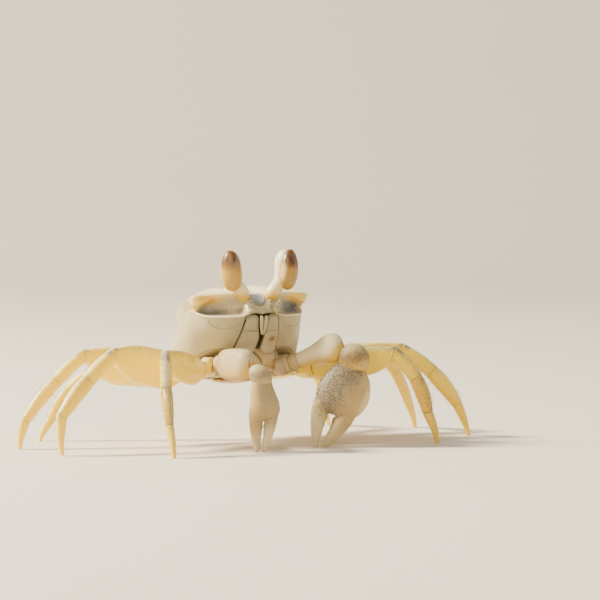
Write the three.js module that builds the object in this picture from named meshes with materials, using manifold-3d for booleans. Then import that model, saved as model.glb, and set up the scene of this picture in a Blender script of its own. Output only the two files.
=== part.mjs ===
// A ghost crab at life size, standing on its toes with both claws lowered in front of its mouth.
// Millimetres, +Z up. The crab faces -Y and its left side is +X. Every sub-part is one closed mesh.

import * as THREE from 'three';
import { mergeVertices } from 'three/addons/utils/BufferGeometryUtils.js';
import Module from 'manifold-3d';

const wasm = await Module();
wasm.setup();

// ---------------------------------------------------------------- driving dimensions

const shellWidth = 32.8;              // across the outer corners of the carapace
const halfWidth = shellWidth / 2;
const frontHeight = 35;               // tip of the front lobe above the floor
const bodyPitch = 7;                  // degrees, front end up
const jointGap = 0.3;                 // clear space between neighbouring pieces

// ---------------------------------------------------------------- materials

const finish = (colour, roughness) => new THREE.MeshStandardMaterial({ color: colour, roughness });
const shellFinish = finish(0xe8e0c4, 0.5);
const bellyFinish = finish(0xe6d9b4, 0.6);
const legFinish = finish(0xe9cf86, 0.45);
const clawFinish = finish(0xd9ccb0, 0.55);
const stalkFinish = finish(0xf0e6c8, 0.45);
const corneaFinish = finish(0xb98048, 0.2);

// ---------------------------------------------------------------- helpers

const radians = THREE.MathUtils.degToRad;
const vec = (x, y, z) => new THREE.Vector3(x, y, z);
const { lerp, clamp, smoothstep } = THREE.MathUtils;

/** Unit vector for a heading in the XY plane (0 = +X, 90 = +Y) and an elevation above it, in degrees. */
function direction(heading, elevation) {
  const level = Math.cos(radians(elevation));
  return vec(level * Math.cos(radians(heading)), level * Math.sin(radians(heading)), Math.sin(radians(elevation)));
}

/** A signed power, the building block of a superellipse. */
const signedPower = (value, power) => Math.sign(value) * Math.abs(value) ** power;

/** Superellipse ring of points round a centre, with half-sizes a along u and b along v. */
function ring(centre, u, v, a, b, sides, squareness = 2) {
  return Array.from({ length: sides }, (_, i) => {
    const angle = (2 * Math.PI * (i + 0.5)) / sides;
    const along = a * signedPower(Math.cos(angle), 2 / squareness);
    const across = b * signedPower(Math.sin(angle), 2 / squareness);
    return centre.clone().addScaledVector(u, along).addScaledVector(v, across);
  });
}

/** Round ring lying on the floor under a point, started in step with a ring that faces along u and v. */
function flatRing(point, u, v, radius, sides) {
  const level = (axis) => vec(axis.x, axis.y, 0).normalize();
  return ring(vec(point.x, point.y, 0), level(u), level(v), radius, radius, sides);
}

/** Closed skin through a row of rings with equal point counts; both ends get a fan to their centre. */
function loft(rings) {
  const sides = rings[0].length;
  const centreOf = (points) => points.reduce((sum, p) => sum.add(p), vec(0, 0, 0)).divideScalar(sides);
  const points = [...rings.flat(), centreOf(rings[0]), centreOf(rings.at(-1))];
  const firstCentre = rings.length * sides;
  const lastRow = (rings.length - 1) * sides;
  const faces = [];
  for (let i = 0; i < sides; i++) {
    const next = (i + 1) % sides;
    for (let row = 0; row < lastRow; row += sides) {
      faces.push(row + i, row + next, row + sides + next, row + i, row + sides + next, row + sides + i);
    }
    faces.push(firstCentre, next, i);
    faces.push(firstCentre + 1, lastRow + i, lastRow + next);
  }
  return outward(points, faces);
}

/** Geometry from points and faces, turned so that its faces point out. */
function outward(points, faces) {
  let volume = 0;
  for (let f = 0; f < faces.length; f += 3) {
    const [a, b, c] = [points[faces[f]], points[faces[f + 1]], points[faces[f + 2]]];
    volume += a.dot(b.clone().cross(c));
  }
  if (volume < 0) {
    faces.reverse();
  }
  const geometry = new THREE.BufferGeometry().setFromPoints(points);
  geometry.setIndex(faces);
  return geometry;
}

function toSolid(geometry) {
  const bare = geometry.clone();
  bare.deleteAttribute('normal');
  bare.deleteAttribute('uv');
  const merged = mergeVertices(bare);
  const mesh = new wasm.Mesh({
    numProp: 3,
    vertProperties: merged.attributes.position.array,
    triVerts: new Uint32Array(merged.index.array),
  });
  return new wasm.Manifold(mesh);
}

function toGeometry(solid) {
  const mesh = solid.getMesh();
  const geometry = new THREE.BufferGeometry();
  geometry.setAttribute('position', new THREE.BufferAttribute(mesh.vertProperties, 3));
  geometry.setIndex(new THREE.BufferAttribute(mesh.triVerts, 1));
  return geometry;
}

const cut = (geometry, ...tools) => toGeometry(tools.reduce((s, t) => s.subtract(toSolid(t)), toSolid(geometry)));
const join = (geometry, ...others) => toGeometry(others.reduce((s, t) => s.add(toSolid(t)), toSolid(geometry)));

function add(parent, name, geometry, material) {
  const mesh = new THREE.Mesh(geometry, material);
  mesh.name = name;
  parent.add(mesh);
}

/** Ovoid about a centre, with a long axis, half-sizes across it, and a waist that tapers to each end. */
function ovoid(centre, axis, u, length, a, b, { sides = 12, rows = 8, lowTaper = 0, grow = 0 } = {}) {
  const v = axis.clone().cross(u).normalize();
  const rings = Array.from({ length: rows }, (_, i) => {
    const angle = Math.PI * (0.06 + (0.88 * i) / (rows - 1));
    const along = -Math.cos(angle) * (length / 2 + grow);
    const swell = Math.sin(angle) * (1 - lowTaper * Math.cos(angle));
    const middle = centre.clone().addScaledVector(axis, along);
    return ring(middle, u, v, a * swell + grow, b * swell + grow, sides);
  });
  return loft(rings);
}

// ---------------------------------------------------------------- eyes

const corneaCentre = { x: 7.95, y: -0.4, z: 43.1 };
const corneaLength = 10.1;
const corneaWidth = 5.3;
const corneaThickness = 4.4;
const corneaTurn = 28;                // degrees that the eye faces out from straight ahead
const corneaLean = 5;                 // degrees that its top leans out

function corneaShape(side, grow) {
  const centre = vec(side * corneaCentre.x, corneaCentre.y, corneaCentre.z);
  const axis = direction(side > 0 ? 0 : 180, 90 - corneaLean);
  const across = vec(Math.cos(radians(corneaTurn)), side * Math.sin(radians(corneaTurn)), 0);
  const u = across.addScaledVector(axis, -across.dot(axis)).normalize();
  const options = { sides: 14, rows: 9, lowTaper: -0.12, grow };
  return ovoid(centre, axis, u, corneaLength, corneaWidth / 2, corneaThickness / 2, options);
}

/** Eyestalk before the eye is let into it: a slender root that widens behind and inside the eye. */
function stalkCore(side, grow) {
  const path = new THREE.CatmullRomCurve3([
    vec(side * 3.9, 0.6, 35.7),
    vec(side * 4.4, 0.9, 37.4),
    vec(side * 6.1, 1.2, 39.8),
    vec(side * 7.0, 1.0, 42.6),
    vec(side * 7.3, 0.9, 45.6),
    vec(side * 7.5, 0.6, 48.0),
  ]);
  const radii = [1.25, 1.3, 1.4, 1.85, 2.15, 2.2, 1.9, 0.9];
  return loft(radii.map((radius, i) => {
    const share = i / (radii.length - 1);
    const tangent = path.getTangentAt(share);
    const across = vec(0, 1, 0).cross(tangent).normalize();
    const centre = path.getPointAt(share);
    if (i === 0) {
      centre.addScaledVector(tangent, -grow);
    }
    return ring(centre, across, tangent.cross(across), radius + grow, radius + grow, 12);
  }));
}

// ---------------------------------------------------------------- body shell

const group = new THREE.Group();
const model = new THREE.Group();
group.add(model);
const body = new THREE.Group();
body.rotation.x = radians(-bodyPitch);
body.position.z = frontHeight;
body.updateMatrix();
model.add(body);
const bodyPoint = (x, y, z) => vec(x, y, z).applyMatrix4(body.matrix);

// Three outlines in plan, each a superellipse round the same middle, squarer in front than behind: the
// ridge round the back of the crab, the level of the lower eye-socket rim, and the lower edge above the legs.
const shellMiddle = 12.5;
// `taper` narrows an outline towards the rear, from `taperFrom` on.
const ridge = { half: halfWidth - 0.2, front: 1.7, back: 27.2, frontPower: 9, backPower: 2.4, taper: 0.15, taperFrom: 8 };
const rim = { half: halfWidth - 0.8, front: -1.7, back: 27.6, frontPower: 2.5, backPower: 2.4, taper: 0.09, taperFrom: 6 };
const hem = { half: halfWidth, front: 3.4, back: 26.6, frontPower: 2.25, backPower: 2.3, taper: 0.07, taperFrom: 6 };
const rimDrop = 3.2;                  // lower eye-socket rim below the front lobe
const hemDrop = 10.7;                 // lower edge in front, below the front lobe
const domeTop = 5.3;                  // crown of the back above the front lobe
const toothAngle = radians(-33.6);    // bearing of the outer corner from the middle of the shell
const toothReach = 1.05;              // how far that corner stands out
const rimLead = 0.186;                // how far back, in radians, the walls lean below that corner

function outline(shape, angle) {
  const across = Math.abs(Math.cos(angle));
  const along = Math.abs(Math.sin(angle));
  const inFront = Math.sin(angle) < 0;
  const power = inFront ? shape.frontPower : shape.backPower;
  const reach = inFront ? shellMiddle - shape.front : shape.back - shellMiddle;
  const radius = ((across / shape.half) ** power + (along / reach) ** power) ** (-1 / power);
  const y = shellMiddle + radius * Math.sin(angle);
  return vec(radius * Math.cos(angle) * (1 - shape.taper * smoothstep(y, shape.taperFrom, shape.taperFrom + 18)), y, 0);
}

/** Bearing at which the rim and the lower edge lie below a point of the ridge. */
function led(angle) {
  const turn = angle + Math.PI / 2;
  const fromTooth = Math.abs(turn) - (Math.PI / 2 + toothAngle);
  return angle + Math.sign(turn) * rimLead * Math.exp(-((fromTooth / 0.5) ** 2));
}

/** The ridge: its front edge slopes back to a pointed outer corner, and a narrow lobe hangs in the middle. */
function ridgePoint(angle) {
  const point = outline(ridge, angle);
  const side = Math.abs(point.x) / halfWidth;
  const inFront = smoothstep(shellMiddle - point.y, 0, 6);
  const lobe = Math.exp(-((point.x / 2.5) ** 4)) * inFront;
  const fromTooth = Math.abs(Math.atan2(Math.sin(angle), Math.abs(Math.cos(angle))) - toothAngle);
  const tooth = toothReach * Math.exp(-((fromTooth / 0.08) ** 2));
  point.x += Math.sign(point.x) * tooth;
  point.y += inFront * 2.8 * side ** 2 - 1.7 * lobe - 0.5 * tooth;
  const fall = 0.0123 * clamp(point.y, 0, 12) ** 2 + 0.24 * Math.max(point.y - 12, 0);
  point.z = 2.8 - 0.3 * side ** 2 - fall - 2.6 * lobe;
  return point;
}

function rimPoint(angle) {
  const point = outline(rim, led(angle));
  point.z = -rimDrop + 1.2 * (Math.abs(point.x) / halfWidth) ** 3 - 0.004 * Math.max(point.y, 0) ** 2;
  return point;
}

/** Level of the lower edge, which steps down behind the mouth. */
const hemLevel = (y) => -hemDrop - 1.5 * smoothstep(y, 5, 13);
const floorLevel = (y) => hemLevel(y) - 0.35;

function hemPoint(angle) {
  const point = outline(hem, led(angle));
  point.z = hemLevel(point.y);
  return point;
}

/** Rings from the crown of the back over the ridge and down to the floor, with points crowded in front. */
function carapaceRings(sides) {
  const angles = Array.from({ length: sides }, (_, i) => {
    const turn = (2 * (i + 0.5)) / sides - 1;
    return -Math.PI / 2 + Math.PI * turn * (0.7 + 0.3 * turn ** 2);
  });
  const crown = vec(0, shellMiddle, 0);
  const dome = [0.12, 0.35, 0.58, 0.78, 0.92].map((share) => angles.map((angle) => {
    const edge = ridgePoint(angle);
    const point = crown.clone().lerp(edge, share);
    point.z = lerp(domeTop, edge.z, share ** 2.3);
    return point;
  }));
  const wall = [0, 0.25, 0.6, 1].map((share) => angles.map((angle) => {
    const edge = ridgePoint(angle);
    edge.z -= 0.5 * share;
    return edge.lerp(rimPoint(angle), share ** 0.7);
  }));
  const flank = [0.35, 0.7, 1].map((share) => angles.map((angle) => {
    const point = rimPoint(angle).lerp(hemPoint(angle), share);
    const away = vec(Math.cos(angle), Math.sin(angle), 0);
    return point.addScaledVector(away, 0.7 * Math.sin(Math.PI * share));
  }));
  const floor = [0.86, 0.4].map((share) => angles.map((angle) => {
    const point = crown.clone().lerp(hemPoint(angle), share);
    point.z = floorLevel(point.y);
    return point;
  }));
  return [...dome, ...wall, ...flank, ...floor];
}

/** Hollow that the eyestalk folds into, from beside the front lobe out to the corner of the shell. */
function socket(side) {
  const inner = vec(side * 3.4, 0.2, -0.3);
  const outer = vec(side * 14.4, 4.2, -0.15);
  const axis = outer.clone().sub(inner).normalize();
  const up = vec(0, -0.35, 1).normalize();
  const centre = inner.clone().lerp(outer, 0.5);
  return ovoid(centre, axis, up, inner.distanceTo(outer) + 1.4, 2.75, 3.4, { sides: 12, rows: 10 });
}

const mouthTop = -3.2;
const mouthBottom = -11.4;
const mouthHalfTop = 4.3;
const mouthHalfBottom = 5.9;
const mouthDepth = 2.6;
const mouthHalf = (z) => lerp(mouthHalfTop, mouthHalfBottom, (mouthTop - z) / (mouthTop - mouthBottom));

/** How far behind the front lobe the face lies at a level, on the middle line. */
function faceDepth(z) {
  const share = clamp((-rimDrop - z) / (hemDrop - rimDrop), 0, 1);
  return lerp(rim.front, hem.front, share) - 0.7 * Math.sin(Math.PI * share);
}

/** Recess of the mouth frame, a tapering block that the outer mouthparts lie in. */
function mouthRecess() {
  const forward = 4;
  const rings = [0, 0.15, 0.35, 0.6, 0.85, 1.0, 1.2].map((share) => {
    const z = lerp(mouthTop, mouthBottom, share);
    const centre = vec(0, faceDepth(z) + mouthDepth - forward, z);
    return ring(centre, vec(1, 0, 0), vec(0, 1, 0), mouthHalf(z), forward, 16, 8);
  });
  return loft(rings);
}

const shell = loft(carapaceRings(36));
const toBody = body.matrix.clone().invert();
const stalkRoom = (side) => stalkCore(side, jointGap).applyMatrix4(toBody);
const hollows = [socket(1), socket(-1), stalkRoom(1), stalkRoom(-1), mouthRecess()];
const carapace = cut(shell, ...hollows);
add(body, 'carapace', carapace, shellFinish);

// ---------------------------------------------------------------- underside

const breastBottom = -17.2;

/** Breastplate between the leg bases, a shallow tray that narrows downwards. */
function breastplate(grow) {
  const levels = [
    { z: -10.5, half: 9.6, front: 5.4, back: 23.6 },
    { z: -14.4, half: 9.8, front: 4.8, back: 23.2 },
    { z: -16.3, half: 8.2, front: 6.0, back: 21.4 },
    { z: breastBottom, half: 5.6, front: 8.4, back: 18.8 },
  ];
  return loft(levels.map(({ z, half, front, back }) => {
    const centre = vec(0, (front + back) / 2, z);
    return ring(centre, vec(1, 0, 0), vec(0, 1, 0), half + grow, (back - front) / 2 + grow, 18, 2.8);
  }));
}

add(body, 'sternum', cut(breastplate(0), shell.clone().translate(0, 0, -jointGap)), bellyFinish);

/** What the limb roots keep clear of, in the model's frame. */
const rootClearance = [breastplate(jointGap), shell.clone().translate(0, 0, -jointGap)];
rootClearance.forEach((geometry) => geometry.applyMatrix4(body.matrix));

/** Narrow tail flap, from the rear edge of the shell down and forward under the breastplate. */
function tailFlap() {
  const path = new THREE.CatmullRomCurve3([
    vec(0, 26.3, -13.4),
    vec(0, 25.2, -15.4),
    vec(0, 21.6, -17.6),
    vec(0, 16.5, -18.3),
    vec(0, 9.0, -18.2),
  ]);
  const halfWidths = [4.4, 4.6, 3.6, 3.2, 2.8, 2.3, 1.5];
  return loft(halfWidths.map((half, i) => {
    const share = i / (halfWidths.length - 1);
    const tangent = path.getTangentAt(share);
    const across = vec(1, 0, 0);
    return ring(path.getPointAt(share), across, tangent.cross(across), half, 0.55, 10, 3);
  }));
}

add(body, 'abdomen', tailFlap(), bellyFinish);

// ---------------------------------------------------------------- mouthparts and feelers

/** One outer mouthpart, a crowned plate that fills its half of the mouth frame. */
function mouthPlate(side) {
  const rings = [0, 0.12, 0.35, 0.6, 0.85, 1].map((share) => {
    const z = lerp(mouthTop - jointGap - 0.3, mouthBottom + 0.2, share);
    const outer = mouthHalf(z) - jointGap - 0.05;
    const inner = lerp(1.3, 0.25, smoothstep(share, 0, 0.7));
    const narrow = share === 0 ? 0.7 : 1;
    const centre = vec((side * (outer + inner)) / 2, faceDepth(z) + 1.05, z);
    return ring(centre, vec(1, 0, 0), vec(0, 1, 0), ((outer - inner) / 2) * narrow, 1.15 * narrow, 14, 3.2);
  });
  return loft(rings);
}

/** Short feeler with its jointed base, in the inner corner of the eye socket. */
function feeler(side) {
  const path = new THREE.CatmullRomCurve3([
    vec(side * 2.8, -2.3, -2.2),
    vec(side * 3.3, -2.5, -1.3),
    vec(side * 3.9, -2.6, -0.4),
    vec(side * 4.6, -2.5, 0.9),
  ]);
  const radii = [0.75, 0.85, 0.7, 0.45, 0.33, 0.28];
  const core = loft(radii.map((radius, i) => {
    const share = i / (radii.length - 1);
    const tangent = path.getTangentAt(share);
    const across = vec(0, 1, 0).cross(tangent).normalize();
    return ring(path.getPointAt(share), across, tangent.cross(across), radius, radius, 8);
  }));
  return cut(core, carapace.clone().translate(0, -jointGap, 0));
}

for (const [sideName, side] of [['left', 1], ['right', -1]]) {
  add(body, `mouthpart_${sideName}`, mouthPlate(side), bellyFinish);
  add(body, `antenna_${sideName}`, feeler(side), stalkFinish);
  add(model, `eyestalk_${sideName}`, cut(stalkCore(side, 0), corneaShape(side, jointGap)), stalkFinish);
  add(model, `cornea_${sideName}`, corneaShape(side, 0), corneaFinish);
}

// ---------------------------------------------------------------- limbs

/**
 * Rings of a limb, segment by segment. A segment has a length, a heading and an elevation, and stations
 * [share of its length, breadth, thickness, sag of the middle line]. Breadth lies in the plane of the limb,
 * turned about the segment's own axis by its roll in degrees.
 * Where two segments meet, both end on the plane that halves the bend, with the joint gap between them.
 */
function limbRings(root, segments, sides, footRadius) {
  const frames = segments.map(({ heading, elevation, roll = 0 }) => {
    const axis = direction(heading, elevation);
    const normal = vec(-Math.sin(radians(heading)), Math.cos(radians(heading)), 0);
    return { axis, normal: normal.applyAxisAngle(axis, radians(roll)) };
  });
  let start = root.clone();
  return segments.map((segment, s) => {
    const { axis, normal } = frames[s];
    const before = s > 0 ? frames[s - 1] : frames[s];
    const after = s < segments.length - 1 ? frames[s + 1] : frames[s];
    const last = segment.stations.length - 1;
    const rings = segment.stations.map(([share, breadth, thickness, sag = 0], i) => {
      const neighbour = i === 0 ? before : after;
      const blend = i === 0 || i === last ? 1 : 0;
      const facing = axis.clone().addScaledVector(neighbour.axis, blend).normalize();
      const across = normal.clone().addScaledVector(neighbour.normal, blend);
      across.addScaledVector(facing, -across.dot(facing)).normalize();
      const up = facing.clone().cross(across);
      const stretch = 1 / Math.max(facing.dot(axis), 0.6);
      const inset = (i === 0 ? 1 : i === last ? -1 : 0) * (jointGap / 2);
      const centre = start.clone().addScaledVector(axis, share * segment.length);
      centre.addScaledVector(facing, inset).addScaledVector(up, -sag);
      return ring(centre, up, across, (breadth / 2) * stretch, thickness / 2, sides, 2.3);
    });
    start = start.clone().addScaledVector(axis, segment.length);
    if (footRadius && s === segments.length - 1) {
      rings[last] = flatRing(start, axis.clone().cross(normal), normal, footRadius, sides);
    }
    return rings;
  });
}

/** Elevation that brings the end of a segment of this length from its height down to the floor. */
const fallToFloor = (height, length) => -THREE.MathUtils.radToDeg(Math.asin(Math.min(height / length, 1)));

// Walking legs from front to back: lengths and greatest breadths of the segments. The first length runs
// from the hip to the knee and holds the short leg base too.
const legSizes = [
  { hip: [9.5, 8.5, -14.9], lengths: [28.6, 8.1, 9.2, 7.9], breadths: [7.6, 3.6, 3.7, 2.3] },
  { hip: [9.5, 12.6, -15.1], lengths: [32.6, 9.3, 11.2, 9.2], breadths: [9.6, 3.8, 4.0, 2.4] },
  { hip: [9.5, 16.7, -14.9], lengths: [31.6, 9.2, 12.2, 7.2], breadths: [8.8, 3.4, 3.2, 2.2] },
  { hip: [8.6, 20.5, -14.2], lengths: [25.2, 8.2, 8.6, 5.8], breadths: [5.6, 2.9, 2.8, 1.9] },
];

// How each leg is held, in degrees: heading and elevation of its segments, and the roll of its upper part.
// The elevation of the last segment follows from the floor.
const legPoses = {
  left: [
    { headings: [-38, -33, -44, -50], elevations: [6, -48, -70], roll: 20 },
    { headings: [-19, -25, -4, 8], elevations: [6.5, -35, -49], roll: 25 },
    { headings: [-1, 20, 30, 34], elevations: [6, -38, -51], roll: 30 },
    { headings: [29, 38, 42, 44], elevations: [-1, -44, -58], roll: 20 },
  ],
  right: [
    { headings: [-140, -114, -106, -92], elevations: [8, -70, -62], roll: 0 },
    { headings: [-160, -173, -167, -172], elevations: [8.5, -39, -46], roll: 0 },
    { headings: [180, 176, 173, 170], elevations: [7.5, -40, -50], roll: 0 },
    { headings: [156, 158, 164, 166], elevations: [-2, -38, -59], roll: 0 },
  ],
};

const legNames = ['merus', 'carpus', 'propodus', 'dactyl'];

/** Stations of the four leg segments for their greatest breadths. */
function legStations([merus, carpus, propodus, dactyl]) {
  const base = 0.25 * merus + 2.8;
  const knee = carpus * 0.92;
  const ankle = lerp(carpus, propodus, 0.5) * 0.93;
  const toeJoint = lerp(propodus, dactyl, 0.75);
  const blade = (share, breadth, sag) => [share, breadth, Math.max(0.4 * breadth, 2.6), sag];
  return [
    [
      [0, base, base * 0.72],
      [0.14, base, base * 0.72, 0.5],
      [0.24, base * 0.9, base * 0.66, 1.3],
      blade(0.34, lerp(base, merus, 0.55), 1.75),
      blade(0.48, lerp(base, merus, 0.95), 1.7),
      blade(0.66, merus, 1.4),
      blade(0.82, merus * 0.9, 1.1),
      blade(0.93, lerp(knee, merus, 0.38), 0.45),
      [1, knee, knee * 0.84],
    ],
    [
      [0, knee, knee * 0.84],
      [0.3, carpus * 0.95, carpus * 0.72],
      [0.7, carpus, carpus * 0.7],
      [1, ankle, carpus * 0.64],
    ],
    [
      [0, ankle, carpus * 0.64],
      [0.3, propodus, propodus * 0.62],
      [0.65, lerp(propodus, dactyl, 0.25), propodus * 0.58],
      [1, toeJoint, dactyl * 0.85],
    ],
    [
      [0, toeJoint, dactyl * 0.85],
      [0.3, dactyl, dactyl * 0.75],
      [0.65, dactyl * 0.72, dactyl * 0.6, -0.2],
      [1, 0.9, 0.9],
    ],
  ];
}

const toeRadius = 0.42;

for (const [sideName, side] of [['left', 1], ['right', -1]]) {
  legSizes.forEach(({ hip, lengths, breadths }, i) => {
    const { headings, elevations, roll } = legPoses[sideName][i];
    const root = bodyPoint(side * hip[0], hip[1], hip[2]);
    const drops = elevations.map((elevation, s) => lengths[s] * Math.sin(radians(elevation)));
    const toeHeight = root.z + drops.reduce((sum, drop) => sum + drop, 0);
    const allElevations = [...elevations, fallToFloor(toeHeight, lengths[3])];
    const stations = legStations(breadths);
    const segments = lengths.map((length, s) => {
      const turned = s === 0 ? side * roll : 0;
      return { length, heading: headings[s], elevation: allElevations[s], roll: turned, stations: stations[s] };
    });
    limbRings(root, segments, 9, toeRadius).forEach((rings, s) => {
      const segment = s === 0 ? cut(loft(rings), ...rootClearance) : loft(rings);
      add(model, `leg_${sideName}_${i + 1}_${legNames[s]}`, segment, legFinish);
    });
  });
}

// ---------------------------------------------------------------- claws

// The left claw is the larger one. The arm is a limb segment, the wrist a rounded block beyond its end, and
// the hand hangs from the wrist to the floor. Its breadth lies along `spread`, which points to the side of
// the movable finger, and `bulge` is how far the palm swells that way, as a share of its breadth. The arm's
// breadths are at even steps, the last one inside the cup that the wrist sits in.
const claws = {
  left: {
    hip: [8.3, 4.7, -15.5],
    arm: { length: 18.6, heading: -64, elevation: 19, breadths: [4.0, 3.8, 4.2, 5.3, 7.1, 5.4] },
    wrist: { heading: -33, elevation: -51, shift: 4.7, length: 8.0, breadth: 7.6, thickness: 6.8 },
    hand: { heading: 170, length: 21.5, breadth: 12.9, thickness: 6.8, palm: 0.56, drop: 1.9, bulge: -0.02,
      spread: [-0.8, 0.45, 0] },
  },
  right: {
    hip: [8.3, 4.8, -14.6],
    arm: { length: 18.8, heading: -98, elevation: 4, breadths: [4.6, 5.0, 6.0, 7.0, 7.4, 6.6] },
    wrist: { heading: -36, elevation: -46, shift: 4.0, length: 5.9, breadth: 5.2, thickness: 4.8 },
    hand: { heading: -30, length: 16.9, breadth: 7.6, thickness: 4.8, palm: 0.54, drop: 1.6, bulge: 0.14,
      spread: [0.9, -0.35, 0] },
  },
};

/** Row of low blunt teeth along a finger's cutting edge, as small ovoids. */
function fingerTeeth(from, to, towards, count, size) {
  return Array.from({ length: count }, (_, i) => {
    const share = (i + 0.7) / (count + 0.6);
    const centre = from.clone().lerp(to, share);
    const axis = to.clone().sub(from).normalize();
    const radius = size * (1 - 0.35 * share);
    return ovoid(centre, towards, axis, radius * 2.2, radius, radius, { sides: 5, rows: 3 });
  });
}

/** Curved tapering finger from a root to a tip, bowed away from its partner. */
function finger(root, tip, bow, breadth, thickness, across, tipRadius) {
  const middle = root.clone().lerp(tip, 0.5).add(bow);
  const path = new THREE.QuadraticBezierCurve3(root, middle, tip);
  const tapers = [1, 0.92, 0.8, 0.64, 0.45, 0];
  return loft(tapers.map((taper, i) => {
    const share = i / (tapers.length - 1);
    const tangent = path.getTangentAt(share);
    const side = across.clone().addScaledVector(tangent, -across.dot(tangent)).normalize();
    const out = tangent.clone().cross(side);
    if (taper === 0) {
      return flatRing(tip, side, out, tipRadius, 10);
    }
    return ring(path.getPointAt(share), side, out, (thickness / 2) * taper, (breadth / 2) * taper, 10);
  }));
}

function buildClaw(sideName, side) {
  const { hip, arm, wrist, hand } = claws[sideName];
  const root = bodyPoint(side * hip[0], hip[1], hip[2]);
  const steps = arm.breadths.length - 1;
  const armStations = arm.breadths.map((breadth, i) => [i / steps, breadth, breadth * 0.74]);
  const [armRings] = limbRings(root, [{ ...arm, stations: armStations }], 12, 0);
  const elbow = root.clone().addScaledVector(direction(arm.heading, arm.elevation), arm.length);

  const wristAxis = direction(wrist.heading, wrist.elevation);
  const wristCentre = elbow.clone().addScaledVector(wristAxis, wrist.shift);
  const wristUp = vec(0, 0, 1).cross(wristAxis).cross(wristAxis).normalize();
  const block = (grow) => ovoid(wristCentre, wristAxis, wristUp, wrist.length, wrist.breadth / 2,
    wrist.thickness / 2, { grow });
  add(model, `claw_${sideName}_merus`, cut(loft(armRings), block(jointGap), ...rootClearance), clawFinish);
  add(model, `claw_${sideName}_carpus`, block(0), clawFinish);

  const cuffEnd = wristCentre.clone().add(vec(0, 0, -hand.drop));
  const axis = direction(hand.heading, fallToFloor(cuffEnd.z, hand.length));
  const reach = cuffEnd.z / -axis.z;
  const spread = vec(...hand.spread);
  spread.addScaledVector(axis, -spread.dot(axis)).normalize();
  const face = axis.clone().cross(spread).normalize();
  const at = (share, out) => cuffEnd.clone().addScaledVector(axis, share * reach).addScaledVector(spread, out);

  // [share of the palm, share of the greatest breadth, share of the greatest thickness, share of the bulge]
  const palmStations = [
    [0.0, 0.42, 0.56, 0],
    [0.1, 0.62, 0.74, 0.4],
    [0.28, 0.86, 0.93, 0.9],
    [0.52, 1.0, 1.0, 1],
    [0.76, 0.96, 0.92, 0.6],
    [0.94, 0.8, 0.72, 0],
    [1.06, 0.5, 0.44, -1],
  ];
  const palmRings = palmStations.map(([share, wide, thick, bulge]) => {
    const centre = at(share * hand.palm, bulge * hand.bulge * hand.breadth);
    return ring(centre, spread, face, (hand.breadth / 2) * wide, (hand.thickness / 2) * thick, 12, 2.2);
  });
  const palm = loft(palmRings);

  const lower = -0.21 * hand.breadth;
  const upper = 0.27 * hand.breadth;
  const tipGap = 0.85;
  const fixedRoot = at(hand.palm * 0.82, lower);
  const fixedTip = at(1, -tipGap).setZ(0);
  const bow = spread.clone().multiplyScalar(0.13 * hand.breadth);
  const bladeThickness = hand.thickness * 0.56;
  const fixed = finger(fixedRoot, fixedTip, bow.clone().negate(), hand.breadth * 0.4, bladeThickness, face, 0.45);
  const toothSize = 0.052 * hand.breadth;
  const edgeFrom = at(hand.palm * 1.02, lower + 0.2 * hand.breadth);
  const edgeTo = at(0.93, -tipGap + 0.35);
  const teeth = fingerTeeth(edgeFrom, edgeTo, spread, 4, toothSize);

  const movableRoot = at(hand.palm * 0.84, upper);
  const movableTip = at(1, tipGap).setZ(0);
  const movable = finger(movableRoot, movableTip, bow, hand.breadth * 0.36, bladeThickness * 0.95, face, 0.45);
  const seatRoot = at(hand.palm * 0.76, upper);
  const seatTip = movableTip.clone().addScaledVector(spread, 0.1);
  const seatBow = bow.clone().multiplyScalar(1.02);
  const swell = 2 * jointGap + 0.1;
  const seat = finger(seatRoot, seatTip, seatBow, hand.breadth * 0.36 + swell, bladeThickness + swell, face, 0.9);
  add(model, `claw_${sideName}_palm`, cut(join(palm, fixed, ...teeth), seat, block(jointGap)), clawFinish);
  add(model, `claw_${sideName}_finger`, movable, clawFinish);
}

buildClaw('left', 1);
buildClaw('right', -1);

// ---------------------------------------------------------------- origin

// The origin is under the middle of the whole crab, on the floor that its toes stand on.
group.updateMatrixWorld(true);
const box = new THREE.Box3().setFromObject(group, true);
const middle = box.getCenter(new THREE.Vector3());
model.position.set(-middle.x, -middle.y, -box.min.z);

export default group;
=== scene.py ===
"""A ghost crab at life size, standing on its toes with both claws lowered in front of its mouth.

The script is laid out as an add-on. Each operator makes one piece or one group of like pieces around the
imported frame. Shapes are worked out in millimetres, in the crab's own frames, and turned into metres at the
end. The crab faces -Y and its left side is +X.
"""

from math import cos, pi, radians, sin, tan

import bmesh
import bpy
import numpy as np
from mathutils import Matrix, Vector


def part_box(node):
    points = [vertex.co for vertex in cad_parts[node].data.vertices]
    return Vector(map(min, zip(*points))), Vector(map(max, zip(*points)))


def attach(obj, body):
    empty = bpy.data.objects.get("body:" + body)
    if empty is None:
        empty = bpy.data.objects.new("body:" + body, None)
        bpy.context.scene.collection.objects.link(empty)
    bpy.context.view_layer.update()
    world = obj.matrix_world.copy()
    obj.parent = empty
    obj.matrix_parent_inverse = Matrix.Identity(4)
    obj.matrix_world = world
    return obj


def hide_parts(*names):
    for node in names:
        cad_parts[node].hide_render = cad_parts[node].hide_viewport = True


bl_info = {
    "name": "Ghost crab",
    "version": (1, 0, 0),
    "blender": (4, 5, 0),
    "location": "3D View > Sidebar > Ghost crab",
    "description": "Builds a life-size ghost crab around its packed frame",
    "category": "Object",
}

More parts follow.
